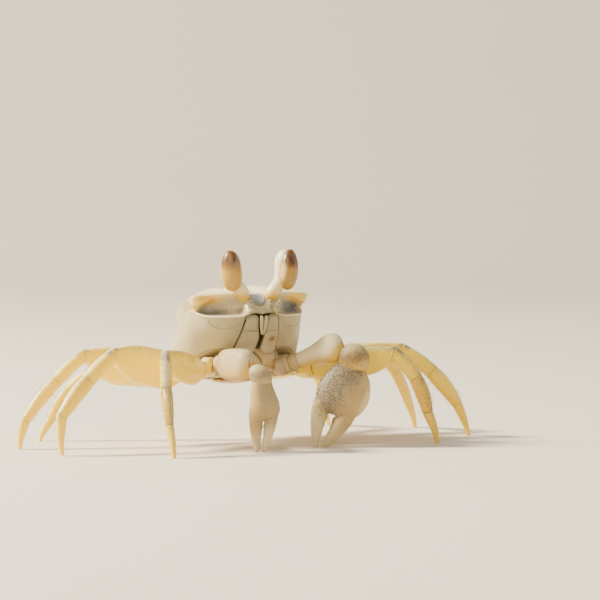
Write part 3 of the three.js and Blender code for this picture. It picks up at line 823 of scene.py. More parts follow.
        # Painted light in the upper part of each socket, under its roof.
        roof = under_roof * fade(down, 0.15, 0.6) * (0.2 + 0.8 * smoothstep(side, 7, 12))
        outer = smoothstep(side, 7.5, 13)
        dorsal = self.laid(DOME, smoothstep(y[DOME], 5, 12))

        # Painted shade: grey low in the sockets, more of it on the crab's left, and on the front lobe.
        grey_from = np.where(x > 0, 0.0, 0.4)
        grey = smoothstep(hollow, 0.2, 0.8) * smoothstep(down - grey_from, 0.0, 0.5)
        grey = 0.8 * grey * smoothstep(side, 5.5, 10) * (1 - 0.6 * smoothstep(down, 0.9, 1.0))
        lobe = 0.95 * np.exp(-((x / 2.0) ** 4)) * (y < 3.2)
        lobe = lobe * smoothstep(z, -0.7, 0.0) * smoothstep(3.4 - z, 0.2, 1.3)

        # Gold where the shell is thin; pearl on the crown and inner bands, a painted highlight on the rims,
        # painted light in the sockets.
        gold = on_band * (0.25 + 0.75 * outer) * (1 - 0.3 * smoothstep(side, 13.5, 16))
        rim = 0.95 * fade(self.from_front, 0.9, 1.05) * self.beside_lobe
        pearl = np.maximum.reduce([
            smoothstep(z, 1.5, 3.2) * (1 - on_band) * (1 - hollow),
            0.45 * on_band * (1 - outer * fade(side, 14, 16)),
            # Painted highlight along the rims.
            self.laid(slice(FLANK_START - 1, FLANK_START + 3), rim) * (1 - self.recess),
            # Painted light on the inner parts of the sockets.
            0.25 * under_roof * smoothstep(down, 0.3, 0.6) * fade(side, 6.5, 10),
        ])

        # Painted shade in rust under the roofs, more of it on the crab's right, and rust at the sockets'
        # ends and along the hem.
        rust = np.where(x > 0, 0.25, 0.9) * roof * bump(down, 0.4, 0.3) * smoothstep(side, 7, 12)
        # Also painted shade on the outer corner of the crab's right band.
        rust += 0.2 * ends + 0.3 * on_band * bump(side, 13.2, 2.0) * (x < 0)
        rust[HEM_ROW:] = 0.12
        return {
            "slate": np.maximum(grey, lobe),
            # Glow: gold on thin shell, painted light under the roofs, and the sockets' ends.
            "glow": np.maximum.reduce([gold, roof, 0.8 * ends]),
            "pearl": pearl * (1 - 0.7 * dorsal),
            "crease": self.creases(dorsal),
            "rust": rust,
            "dorsal": dorsal,
        }

    def creases(self, dorsal):
        """Dark lines round the mouth, on the flanks and below the lobe, and painted shade in hollows, on the
        face and in the furrows.
        """
        x, y, z, side, inside = self.x, self.y, self.z, self.side, self.inside
        front = smoothstep(8 - y, 0, 5)
        # The mouth frame's outline, and painted shade filling its recess, weaker towards the crab's left.
        crease = 0.8 * bump(inside, 0.04, 0.1) + smoothstep(inside, 0.1, 0.3)
        crease *= 1 - 0.5 * smoothstep(x, 3, 4)
        # Painted shade along the hem and, faintly, on the underside behind it.
        hem = self.laid(HEM_ROW, 1) + self.laid(slice(HEM_ROW + 1, None), 0.12)
        crease += 0.75 * hem * fade(y, 16, 22)
        arc = np.hypot((side - 9.0) / 3.8, (z + 3.3) / 2.7)
        crease += 0.5 * bump(arc, 1, 0.045) * self.on_face * (z < -3.5)
        crease += 0.8 * front * bump(z, lobe_tip(x) - 0.35, 0.16) * smoothstep(2.6 - side, 0, 0.6)
        # Painted shade on the face beside the lobe.
        crease += 0.3 * bump(side, 4.3, 0.9) * self.on_face * (z > -3.3)
        beside_mouth = front * (z < -3) * (z > -12) * fade(side, 4, 12)
        shade = 0.28 * beside_mouth * (0.6 + 0.4 * smoothstep(z, -10, -6))
        crease = np.clip(np.maximum(crease, shade), 0, 1)
        # Painted shade in the furrows of the back, and a darker band on each side of it.
        crease[DOME] += 0.2 * self.furrow + 0.16 * dorsal[DOME] * bump(side[DOME], 7.5, 2.6)
        return crease


class CRAB_OT_carapace(bpy.types.Operator):
    """Build the carapace with its eye sockets and mouth frame"""

    bl_idname = "crab.carapace"
    bl_label = "Carapace"

    def execute(self, context):
        carapace = Carapace(context.scene.crab_sizes)
        skin = Skin().loft(from_body(carapace.rings), **carapace.paints())
        place("carapace_shell", skin, shell_finish(), "shell", "carapace")
        return {"FINISHED"}


# ------------------------------------------------------------------------------------- underside

# Levels of the breastplate from top to bottom: height, half of its width, front and back.
BREASTPLATE_LEVELS = (
    (-10.6, 9.6, 5.4, 24.2),
    (-12.4, 9.9, 5.0, 24.6),
    (-14.4, 9.8, 4.8, 24.4),
    (-16.3, 8.2, 6.0, 22.9),
    (-17.1, 5.6, 8.4, 21.4),
    (-17.4, 3.0, 10.0, 19.0),
)
BREASTPLATE_SEAMS = (7.2, 10.4, 14.2, 18.0, 21.2)

# The tail flap runs down round the rear and forward under the breastplate.
TAIL_PATH = ((0, 26.3, -13.4), (0, 25.2, -15.4), (0, 21.6, -17.6), (0, 16.5, -18.3), (0, 9.0, -18.2))
TAIL_HALVES = (4.4, 4.6, 3.6, 3.2, 2.8, 2.3, 1.5)
TAIL_HALF_THICKNESS = 0.62
TAIL_JOINTS = (0.13, 0.27, 0.42, 0.58, 0.76)


class CRAB_OT_underside(bpy.types.Operator):
    """Build the breastplate and the tail flap folded under it"""

    bl_idname = "crab.underside"
    bl_label = "Underside"

    def execute(self, context):
        self.breastplate()
        self.tail_flap()
        return {"FINISHED"}

    def breastplate(self):
        rows, sides = 60, 320
        z, half, front, back = evenly(BREASTPLATE_LEVELS, np.linspace(0, 1, rows)).T
        centres = np.stack([np.zeros(rows), (front + back) / 2, z], axis=-1)
        rings = rings_round(centres, ACROSS, BACKWARD, half, (back - front) / 2, sides, 2.8)
        x, y, level = np.abs(rings[..., 0]), rings[..., 1], rings[..., 2]
        seams = sum(bump(y, at + 0.12 * x, 0.22) for at in BREASTPLATE_SEAMS)
        middle = bump(x, 0, 0.3)
        low = smoothstep(-level, 11, 13)
        rings[..., 2] += 0.35 * np.clip(seams + middle, 0, 1) * smoothstep(-level, 15, 16.5)
        in_front = smoothstep(9 - y, 0, 3)
        crease = 0.22 * (seams + 0.5 * middle) * low + 0.8 * in_front * self.front_lines(x, level)
        skin = Skin().loft(from_body(rings), crease=np.clip(crease, 0, 1), glow=0.25 * low)
        place("breastplate", skin, belly_finish(), "belly", "sternum")

    def front_lines(self, x, level):
        """The sutures on the breastplate's front: an arch, two uprights and a level line on each side."""
        along = np.clip((x + 0.8) / 2.9, 0, 1.2)
        slope = np.sqrt(1 + (2.05 * along**1.2) ** 2)
        lines = 1.2 * bump((level + 11.7 + 2.7 * along**2.2) / slope, 0, 0.27) * smoothstep(2.6 - x, 0, 0.5)
        lines += bump(x, 6.7 + 0.12 * (level + 14), 0.16) + 0.5 * bump(x, 7.9 + 0.3 * (level + 14), 0.14)
        return lines + 0.5 * bump(level, -14.8 - 0.12 * x, 0.14) * smoothstep(x, 1.6, 2.4)

    def tail_flap(self):
        rows, sides = 110, 64
        shares = np.linspace(0, 1, rows)
        centres, tangents = path_points(TAIL_PATH, shares)
        joints = sum(bump(shares, at, 0.008) for at in TAIL_JOINTS)
        ends = round_ends(shares, 0.03)
        half = evenly(TAIL_HALVES, shares)[:, 0] * ends * (1 - 0.06 * joints)
        thickness = TAIL_HALF_THICKNESS * ends * (1 - 0.45 * joints)
        rings = rings_round(centres, ACROSS, np.cross(tangents, ACROSS), half, thickness, sides, 2.6)
        skin = Skin().loft(from_body(rings), crease=0.6 * joints[:, None])
        place("tail_flap", skin, belly_finish(), "belly", "abdomen")


# ------------------------------------------------------------------------------------- mouthparts

PALP_PATH = ((0.66, -2.05, -3.2), (0.6, -1.8, -4.4), (0.48, -1.3, -6.0), (0.2, -0.7, -7.9))
PALP_RADII = (0.35, 0.46, 0.46, 0.4, 0.3, 0.16)


def face_depth(z):
    """How far behind the front lobe the face lies at a level, on the middle line."""
    share = np.clip((-RIM_DROP - z) / (HEM_DROP - RIM_DROP), 0, 1)
    return lerp(RIM["front"], HEM["front"], share) - 0.7 * np.sin(pi * share)


def quarter_round(distance, reach):
    """A rise from a tenth to 1, as a quarter of a circle, over a reach from an end."""
    return np.sqrt(np.clip(1 - (1 - np.clip(distance / reach, 0, 1)) ** 2, 0.01, 1))


class CRAB_OT_mouthparts(bpy.types.Operator):
    """Build the two outer mouthparts with their palps"""

    bl_idname = "crab.mouthparts"
    bl_label = "Mouthparts"

    def execute(self, context):
        for name, side in SIDES:
            skin = Skin()
            self.plate(skin, side)
            self.palp(skin, side)
            place(f"mouthpart_{name}_plate", skin, shell_finish(), "belly", f"mouthpart_{name}")
        return {"FINISHED"}

    def plate(self, skin, side):
        """A crowned plate with a seam across it. The left one has a rust spot."""
        rows, sides = 90, 64
        shares = np.linspace(0, 1, rows)
        z = lerp(MOUTH_TOP - 0.1, MOUTH_BOTTOM - 0.8, shares)
        outer = mouth_half(z) - 0.16
        rise = smoothstep(z, -9, -5)
        inner = lerp(1.45, 1.4, rise) if side > 0 else lerp(-0.35, 0.7, rise)
        ends = np.minimum(quarter_round(shares, 0.16), quarter_round(1 - shares, 0.2))
        half, middle = (outer - inner) / 2, (outer + inner) / 2
        centres = np.stack([side * middle, face_depth(z) + 1.0, z], axis=-1)
        rings = rings_round(centres, ACROSS, BACKWARD, half * ends, 1.15 * ends, sides, 3.0)
        x, level = rings[..., 0], rings[..., 2]
        across = (np.abs(x) - middle[:, None]) / half[:, None]
        seam = bump(level, -6.8 - 0.25 * across**2, 0.11)
        arc = bump(np.hypot(across * 1.4, (level + 4.9) * 0.9), 1.35, 0.1) * (level > -5.2)
        rings[..., 1] += 0.18 * np.clip(seam + arc, 0, 1)
        edge = smoothstep(np.abs(across), 0.86, 1.0)
        spot = bump(np.hypot(across - 0.1, (level + 8.8) / 1.4), 0, 0.5) * (side > 0)
        shade = 0.05 + 0.17 * smoothstep(level, -9, -6)
        crease = np.clip(0.3 * seam + 0.4 * arc + 0.7 * edge + shade + 0.6 * spot**3, 0, 1)
        skin.loft(from_body(rings), crease=crease, rust=0.75 * spot)

    def palp(self, skin, side):
        """The slender jointed palp along the inner edge of a plate."""
        path = [(side * x, y, z) for x, y, z in PALP_PATH]
        rings = tube(path, PALP_RADII, rows=50, sides=16, ends=0.05)
        skin.loft(from_body(rings), crease=0.12, pearl=0.1, glow=0.1)


# ------------------------------------------------------------------------------------- feelers

# Start, end and width of each segment of the two feelers of the crab's left side, in the body's frame.
FEELER_SEGMENTS = (
    ((3.0, -2.1, -2.4), (3.6, -2.4, -1.2), 1.6),
    ((3.5, -2.4, -1.2), (4.1, -2.5, -0.3), 1.3),
    ((4.0, -2.5, -0.4), (4.5, -2.5, 0.1), 1.0),
    ((4.45, -2.5, 0.0), (4.6, -2.4, 0.6), 0.65),
    ((1.9, -0.6, -2.0), (2.6, -1.0, -0.9), 1.4),
    ((2.65, -1.0, -1.0), (2.3, -0.9, 0.1), 1.1),
    ((2.3, -0.9, 0.1), (2.8, -0.5, 0.8), 0.75),
)


class CRAB_OT_feelers(bpy.types.Operator):
    """Build the folded inner feelers and the short outer ones beside the front lobe"""

    bl_idname = "crab.feelers"
    bl_label = "Feelers"

    def execute(self, context):
        rows, sides = 24, 28
        ends = 1 - np.sin(pi * np.linspace(0.01, 0.99, rows))[:, None]
        crease = 0.22 + 0.75 * smoothstep(ends, 0.25, 0.7)
        for name, side in SIDES:
            skin = Skin()
            for start, end, width in FEELER_SEGMENTS:
                start, end = (vec(side, 1, 1) * np.array(corner) for corner in (start, end))
                axis = unit(end - start)
                u = unit(np.cross(axis, BACKWARD))
                length = np.linalg.norm(end - start) + 0.3 * width
                rings = ovoid((start + end) / 2, axis, u, length, width / 2, width / 2, sides, rows)
                skin.loft(from_body(rings), crease=crease, glow=0.15)
            place(f"feeler_{name}", skin, shell_finish(), "stalk", f"antenna_{name}")
        return {"FINISHED"}


# ------------------------------------------------------------------------------------- eyes

CORNEA_LENGTH = 10.1
CORNEA_WIDTH = 5.3
CORNEA_THICKNESS = 4.4
CORNEA_TURN = radians(28)
CORNEA_LEAN = 5

# Where the dark slit of each cornea stands, as a share of its half width.
SLIT_AT = {"left": -0.62, "right": 0.38}

STALK_PATH = (
    (3.3, 2.2, 36.0),
    (3.7, 1.3, 36.7),
    (4.3, 1.0, 37.7),
    (6.1, 1.2, 39.8),
    (7.0, 1.0, 42.6),
    (7.3, 0.9, 45.6),
    (7.5, 0.6, 48.0),
)
STALK_RADII = (1.2, 1.6, 1.75, 1.7, 1.85, 2.1, 2.25, 2.0, 1.0)


def cornea_finish():
    """The eye: brown above, tan below, with dark streaks, a slit and a pale rim, under a clear gloss."""
    made, graph, shader = new_finish("cornea")
    crown, dusk = graph.painted("crown"), graph.painted("dusk")
    streak = graph.noise(0.0006, 3.0, 0.6, stretch=(1, 1, 0.16))
    streaks = streak.steps(0.35, 0.65)
    low = graph.mix(graph.noise(0.0018).steps(0.35, 0.7) * 0.5, colour("eye_low"), tone(206, 160, 74))
    dark = graph.mix(streaks, colour("eye_top"), tone(122, 78, 28))
    light = graph.mix(streaks * 0.6, tone(98, 62, 24), tone(132, 92, 42))
    skin = graph.mix(crown + (streak - 0.5) * 0.25 * crown, low, light)
    skin = graph.mix(dusk + (streak - 0.5) * 0.3 * dusk, skin, dark)
    skin = graph.mix(graph.painted("haze"), skin, tone(166, 140, 122))
    skin = graph.mix(graph.painted("slit"), skin, tone(40, 24, 18))
    skin = graph.mix(graph.painted("pearl"), skin, tone(232, 208, 160))
    graph.feed(shader, {
        "Base Color": skin,
        "Normal": graph.relief(graph.cells(0.00012).steps(0.0, 0.8), 0.12, 0.00003),
        "Roughness": 0.36,
        "Coat Weight": 0.18,
        "Coat Roughness": 0.12,
        "Subsurface Weight": 0.2,
        "Subsurface Radius": (1.0, 0.8, 0.5),
        "Subsurface Scale": 0.0007,
    })
    return made


class CRAB_OT_eyes(bpy.types.Operator):
    """Build the eyes on their stalks"""

    bl_idname = "crab.eyes"
    bl_label = "Eyes"

    def execute(self, context):
        finish = cornea_finish()
        for name, side in SIDES:
            self.cornea(name, side, finish)
            self.stalk(name, side)
        return {"FINISHED"}

    def cornea(self, name, side, finish):
        """A tall oval, fuller below. The left one is darker above than the right one."""
        sides, rows = 96, 110
        centre = CORNEA_CENTRE * vec(side, 1, 1)
        axis = direction(0 if side > 0 else 180, 90 - CORNEA_LEAN)
        across = vec(cos(CORNEA_TURN), side * sin(CORNEA_TURN), 0)
        u = unit(across - axis * np.dot(across, axis))
        half = CORNEA_WIDTH / 2
        rings = ovoid(
            centre, axis, u, CORNEA_LENGTH, half, CORNEA_THICKNESS / 2, sides, rows,
            start_swell=0.1, bluntness=0.93,
        )
        height = (rings - centre) @ axis
        along_u = (rings - centre) @ u / half
        in_front = np.sin(ring_angles(sides)) * np.cross(axis, u)[1] < 0
        from_slit = along_u - SLIT_AT[name]
        slit = 0.95 * bump(from_slit, 0, 0.08) * bump(height, 2.9, 0.8) * in_front
        haze = 0.55 * bump(from_slit, 0.1, 0.22) * bump(height, 1.6, 1.5) * in_front * (side < 0)
        skin = Skin().loft(
            rings,
            crown=np.maximum(smoothstep(height, -0.8, 2.6), 0.3 * (side > 0)),
            dusk=smoothstep(height, -0.3, 2.1) * (side > 0),
            slit=slit,
            haze=haze,
            pearl=0.6 * smoothstep(np.abs(along_u), 0.84, 1.0),
        )
        place(f"eye_{name}", skin, finish, "cornea", f"cornea_{name}")

    def stalk(self, name, side):
        """A stalk that leans against the cornea's back, golden at its base and pearly above."""
        path = [(side * x, y, z) for x, y, z in STALK_PATH]
        rings = tube(path, STALK_RADII, rows=110, sides=48, ends=0.03)
        height = rings[..., 2]
        glow, pearl = 0.9 * fade(height, 36.0, 39.0), 0.75 * smoothstep(height, 37.5, 41.5)
        skin = Skin().loft(rings, glow=glow, pearl=pearl)
        place(f"stalk_{name}", skin, stalk_finish(), "stalk", f"eyestalk_{name}")


# ------------------------------------------------------------------------------------- limbs

# Gap between two segments, and radius to which the edges of their ends are rounded.
JOINT_GAP = 0.04
EDGE_ROUND = 0.2
LIMB_SQUARENESS = 2.3
LIMB_SIDES = 48
LEG_NAMES = ("merus", "carpus", "propodus", "dactyl")
LEG_ROWS = (120, 50, 60, 60)

# Walking legs from front to back: hip in the body's frame, lengths and greatest breadths of the segments.
LEG_SIZES = (
    {"hip": (9.5, 8.5, -14.9), "lengths": (28.6, 8.1, 9.2, 7.9), "breadths": (7.6, 3.6, 3.7, 2.3)},
    {"hip": (9.5, 12.6, -15.1), "lengths": (32.6, 9.3, 11.2, 9.2), "breadths": (9.6, 3.8, 4.0, 2.4)},
    {"hip": (9.5, 16.7, -14.9), "lengths": (31.6, 9.2, 12.2, 7.2), "breadths": (8.8, 3.4, 3.2, 2.2)},
    {"hip": (8.6, 20.5, -14.2), "lengths": (25.2, 8.2, 8.6, 5.8), "breadths": (5.6, 2.9, 2.8, 1.9)},
)

# How each leg is held, in degrees: headings and elevations of its segments, and the roll of its upper part.
LEG_POSES = {
    "left": (
        {"headings": (-38, -33, -44, -50), "elevations": (6, -48, -70), "roll": 20},
        {"headings": (-19, -25, -4, 8), "elevations": (6.5, -35, -49), "roll": 25},
        {"headings": (-1, 20, 30, 34), "elevations": (6, -38, -51), "roll": 30},
        {"headings": (29, 38, 42, 44), "elevations": (-1, -44, -58), "roll": 20},
    ),
    "right": (
        {"headings": (-140, -114, -106, -92), "elevations": (8, -70, -62), "roll": 0},
        {"headings": (-160, -173, -167, -172), "elevations": (8.5, -39, -46), "roll": 0},
        {"headings": (180, 176, 173, 170), "elevations": (7.5, -40, -50), "roll": 0},
        {"headings": (156, 158, 164, 166), "elevations": (-2, -38, -59), "roll": 0},
    ),
}

# How strongly the segments of a leg are painted, from merus to dactyl: the pearl and grey of the upper edge,
# the rust of the sides, and the granular band beside the edge with its width. The front legs are browner and
# rougher than the rest.
# The pearl of the upper edge is a painted highlight.
FRONT_LEG_PAINT = {
    "pearl": (0.7, 0.8, 0.15, 0.0), "grey": (0.0, 0.35, 0.3, 0.1), "rust": (0, 0.12, 0.45, 0.25),
    "granular": (0.5, 0.8, 1.0, 0.3), "band": 0.8,
}
REAR_LEG_PAINT = {
    "pearl": (0.7, 1.0, 0.9, 0.4), "grey": (0.0, 0.15, 0.1, 0.0), "rust": (0, 0, 0, 0),
    "granular": (0.4, 0.4, 0.8, 0.0), "band": 0.42,
}
END_SPOTS = (0.9, 0.5, 0.3, 0.0)
START_SPOTS = (0.0, 0.9, 0.4, 0.3)
ALL_RUST = (0, 0.08, 0.12, 0.15)
BRISTLY = (0, 0, 1, 1)


def leg_stations(breadths):
    """Stations [share, breadth, thickness, sag] of a leg's segments, from their greatest breadths."""
    merus, carpus, propodus, dactyl = breadths
    base = 0.25 * merus + 2.8
    knee = carpus * 0.92
    ankle = lerp(carpus, propodus, 0.5) * 0.93
    toe_joint = lerp(propodus, dactyl, 0.75)

    def blade(share, breadth, sag):
        return [share, breadth, max(0.4 * breadth, 2.6), sag]

    return [
        [
            [0, base, base * 0.72, 0],
            [0.14, base, base * 0.72, 0.5],
            [0.24, base * 0.9, base * 0.66, 1.3],
            blade(0.34, lerp(base, merus, 0.55), 1.75),
            blade(0.48, lerp(base, merus, 0.95), 1.7),
            blade(0.66, merus, 1.4),
            blade(0.82, merus * 0.9, 1.1),
            blade(0.93, lerp(knee, merus, 0.38), 0.45),
            [1, knee, knee * 0.84, 0],
        ],
        [
            [0, knee, knee * 0.84, 0],
            [0.3, carpus * 0.95, carpus * 0.82, -0.28],
            [0.7, carpus, carpus * 0.82, -0.25],
            [1, ankle, carpus * 0.76, 0],
        ],
        [
            [0, ankle, carpus * 0.76, 0],
            [0.3, propodus, propodus * 0.74, -0.28],
            [0.65, lerp(propodus, dactyl, 0.25), propodus * 0.68, -0.3],
            [1, toe_joint, dactyl * 0.85, 0],
        ],
        [
            [0, toe_joint, dactyl * 0.85, 0],
            [0.3, dactyl, dactyl * 0.75, -0.25],
            [0.65, dactyl * 0.72, dactyl * 0.6, -0.35],
            [1, 0.9, 0.9, 0],
        ],
    ]


def limb_frames(segments):
    """Axis and side normal of each segment of a limb."""
    frames = []
    for segment in segments:
        axis = direction(segment["heading"], segment["elevation"])
        heading = radians(segment["heading"])
        normal = vec(-sin(heading), cos(heading), 0)
        frames.append((axis, turned(normal, axis, segment["roll"])))
    return frames


def rounded_edge(distance, radius):
    """How far a ring draws in at a distance from an end whose edge is rounded to a radius."""
    short = np.clip(radius - distance, 0, None)
    return radius - np.sqrt(radius**2 - short**2)


def limb_rings(root, segments, sides, on_floor):
    """Fine rings of each segment of a limb, with rounded ends on the planes that halve the bends."""
    frames = limb_frames(segments)
    start = root
    limb = []
    for index, segment in enumerate(segments):
        axis, normal = frames[index]
        length, rows = segment["length"], segment["rows"]
        steps = np.linspace(0, 1, rows)
        shares = (1 - np.cos(pi * steps)) / 2 * 0.35 + steps * 0.65
        breadth, thickness, sag = through(segment["stations"], shares).T
        from_start, to_end = shares * length, (1 - shares) * length
        foot = on_floor and index == len(segments) - 1

        # Near a bend the rings turn towards the plane that halves it.
        facing, across = np.tile(axis, (rows, 1)), np.tile(normal, (rows, 1))
        before, after = frames[max(index - 1, 0)], frames[min(index + 1, len(frames) - 1)]
        for distance, neighbour, size in ((from_start, before, breadth[0]), (to_end, after, breadth[-1])):
            bend = np.arccos(np.clip(np.dot(axis, neighbour[0]), -1, 1)) / 2
            weight = fade(distance, 0, size / 2 * tan(bend) * 1.6 + 0.5)[:, None]
            facing += weight * neighbour[0]
            across += weight * neighbour[1]
        if foot:
            facing = lerp(unit(facing), -UP, fade(to_end, 0, 1.6)[:, None])
        facing = unit(facing)
        across = unit(across - facing * np.einsum("ij,ij->i", across, facing)[:, None])
        up = np.cross(facing, across)
        stretch = 1 / np.maximum(facing @ axis, 0.6)

        # Each segment stops half a gap short of the next one, and its edges are rounded off.
        inset = np.clip(JOINT_GAP / 2 - from_start, 0, None)
        edge = rounded_edge(from_start, segment.get("start_round", EDGE_ROUND))
        if not foot:
            inset = inset - np.clip(JOINT_GAP / 2 - to_end, 0, None)
            edge = np.maximum(edge, rounded_edge(to_end, segment.get("end_round", EDGE_ROUND)))
        centres = start + axis * (shares * length)[:, None] - up * sag[:, None] + facing * inset[:, None]
        half_up, half_across = breadth / 2 * stretch - edge, thickness / 2 - edge
        rings = rings_round(centres, up, across, half_up, half_across, sides, LIMB_SQUARENESS)
        rings[..., 2] = np.maximum(rings[..., 2], 0)
        limb.append({"rings": rings, "shares": shares[:, None], "length": length})
        start = start + axis * length
    return limb


def leg_segments(side_name, side, number):
    """A leg's root, and its segments with the last one's elevation such that its tip meets the floor."""
    size, pose = LEG_SIZES[number], LEG_POSES[side_name][number]
    lengths = size["lengths"]
    root = from_body(vec(side, 1, 1) * np.array(size["hip"]))
    height = root[2] + sum(length * sin(radians(e)) for length, e in zip(lengths, pose["elevations"]))
    last = -np.degrees(np.arcsin(min(height / lengths[-1], 1)))
    elevations = (*pose["elevations"], last)
    rolls = (side * pose["roll"], 0, 0, 0)
    names = ("length", "heading", "elevation", "roll", "stations", "rows")
    columns = (lengths, pose["headings"], elevations, rolls, leg_stations(size["breadths"]), LEG_ROWS)
    return root, [dict(zip(names, values)) for values in zip(*columns)]


class CRAB_OT_legs(bpy.types.Operator):
    """Build the eight walking legs with the soft skin of their joints"""

    bl_idname = "crab.legs"
    bl_label = "Walking legs"

    def execute(self, context):
        for side_name, side in SIDES:
            for number in range(len(LEG_SIZES)):
                title = f"leg_{side_name}_{number + 1}"
                self.leg(title, *leg_segments(side_name, side, number), number == 0)
        return {"FINISHED"}

    def leg(self, title, root, segments, in_front):
        limb = limb_rings(root, segments, LIMB_SIDES, True)
        strengths = FRONT_LEG_PAINT if in_front else REAR_LEG_PAINT
        for index, (part, name) in enumerate(zip(limb, LEG_NAMES)):
            skin = Skin().loft(part["rings"], **self.paints(part, index, strengths))
            place(f"{title}_{name}_shell", skin, leg_finish(), "leg", f"{title}_{name}")
        joints = Skin()
        for before, after in zip(limb, limb[1:]):
            self.joint_skin(joints, before["rings"], after["rings"])
        place(f"{title}_joint_skin", joints, joint_finish(), "leg")

    def paints(self, part, index, strengths):
        """Golden flat sides, a painted highlight along the upper edge, a dark spot at each joint and sutures
        at the base.
        """
        share, length = part["shares"], part["length"]
        from_top = angles_from_top(LIMB_SIDES)
        edge = bump(from_top, 0, 0.42)
        near_end, near_start = bump((1 - share) * length, 0.3, 0.7), bump(share * length, 1.0, 0.75)
        spot = END_SPOTS[index] * near_end + START_SPOTS[index] * near_start
        spot = spot * bump(from_top, 0.5, 0.42)
        margins = bump(from_top, 0, 0.22) + bump(from_top, pi, 0.22)
        paints = {
            "glow": (0.35 + 0.65 * smoothstep(from_top, 0.5, 1.7)) * (1 - edge),
            "pearl": strengths["pearl"][index] * edge,
            "slate": 0.85 * np.clip(spot, 0, 1) + strengths["grey"][index] * edge,
            "rust": ALL_RUST[index] + 0.35 * spot + strengths["rust"][index] * (1 - 0.5 * edge),
            "granular": strengths["granular"][index] * bump(from_top, 0.6, strengths["band"]),
            "bristly": BRISTLY[index] * margins * smoothstep(share, 0.05, 0.3) * fade(share, 0.9, 1),
        }
        if index == 0:
            # Painted highlights on the merus: on a knob near its base and along its lower edge.
            knob = bump(np.hypot((share - 0.37) / 0.07, (from_top - 0.9) / 0.5), 0, 1)
            paints["pearl"] = np.maximum(paints["pearl"] + 0.3 * bump(from_top, pi, 0.4), 0.8 * knob)
            paints["slate"] = paints["slate"] * smoothstep(share, 0.5, 0.6)
            paints["crease"] = 0.8 * bump(share, 0.14, 0.007) + 0.7 * bump(share, 0.27, 0.007)
            paints["granular"] = paints["granular"] * smoothstep(share, 0.4, 0.55)
        return paints

    def joint_skin(self, skin, before, after):
        """Soft skin that bridges the gap between two segments."""
        rings = []
        for ring, size in ((before[-5], 0.8), (before[-1], 1), (after[0], 1), (after[4], 0.8)):
            centre = ring.mean(axis=0)
            rings.append(centre + (ring - centre) * size)
        skin.loft(np.array(rings), slate=0.1)


# ------------------------------------------------------------------------------------- claws

# Each claw: its hip in the body's frame, then its arm, wrist and hand, with headings and elevations in
# degrees. The wrist's middle lies a shift past the elbow, and the hand starts a drop below that. The palm is
# a share of the hand's length and bulges towards the movable finger, which the spread points to. The blades
# are the fingers' breadth as a share of the hand's, and the bow is how far the fingers curve apart.
CLAWS = {
    "left": {
        "hip": (8.3, 4.7, -15.5),
        "arm": {"length": 18.6, "heading": -64, "elevation": 19, "breadths": (4.0, 3.8, 4.2, 5.3, 7.1, 5.4)},
        "wrist": {
            "heading": -33, "elevation": -51, "shift": 4.7, "length": 8.0, "breadth": 7.6, "thickness": 6.8,
        },
        "hand": {
            "heading": 170, "length": 21.5, "breadth": 12.9, "thickness": 6.8, "palm": 0.56, "drop": 1.9,
            "bulge": -0.02, "spread": (-0.8, 0.45, 0), "blades": 0.4, "bow": 0.12,
        },
    },
    "right": {
        "hip": (8.3, 4.8, -14.6),
        "arm": {
            "length": 18.8, "heading": -98, "elevation": 4, "breadths": (7.0, 7.6, 7.7, 7.7, 7.3, 6.0),
            "start_round": 3.0,
        },
        "wrist": {
            "heading": -36, "elevation": -46, "shift": 4.0, "length": 6.4, "breadth": 5.0, "thickness": 4.7,
        },
        "hand": {
            "heading": -30, "length": 16.9, "breadth": 7.6, "thickness": 4.8, "palm": 0.54, "drop": 0.6,
            "bulge": 0.15, "spread": (0.9, -0.35, 0), "blades": 0.5, "bow": 0.06,
        },
    },
}

# [share of the palm, share of the greatest breadth, share of the greatest thickness, share of the bulge]
PALM_STATIONS = {
    "left": (
        (0.0, 0.5, 0.6, 0),
        (0.1, 0.68, 0.78, 0.4),
        (0.28, 0.87, 0.94, 0.9),
        (0.52, 1.0, 1.0, 1),
        (0.76, 0.96, 0.92, 0.6),
        (0.94, 0.8, 0.72, 0),
        (1.06, 0.5, 0.44, -1),
    ),
    "right": (
        (0.0, 0.58, 0.76, 0.3),
        (0.15, 0.68, 0.86, 0.3),
        (0.35, 0.8, 0.95, 0.5),
        (0.6, 0.92, 1.0, 0.9),
        (0.82, 0.96, 0.96, 0.9),
        (0.96, 0.84, 0.8, 0.7),
        (1.06, 0.5, 0.44, 0.2),
    ),
}
PALM_END = 1.06
ARM_SIDES = 72
ARM_ROWS = 120
FINGER_ROWS = 60
FINGERTIP_RADIUS = 0.45

# Thickness of the fingers as a share of the palm's, and distance of both tips from the hand's middle line.
BLADE_THICKNESS = 0.56
TIP_GAP = 0.85

# Rings of a finger at which a tooth stands.
TOOTH_ROWS = range(20, 56, 3)


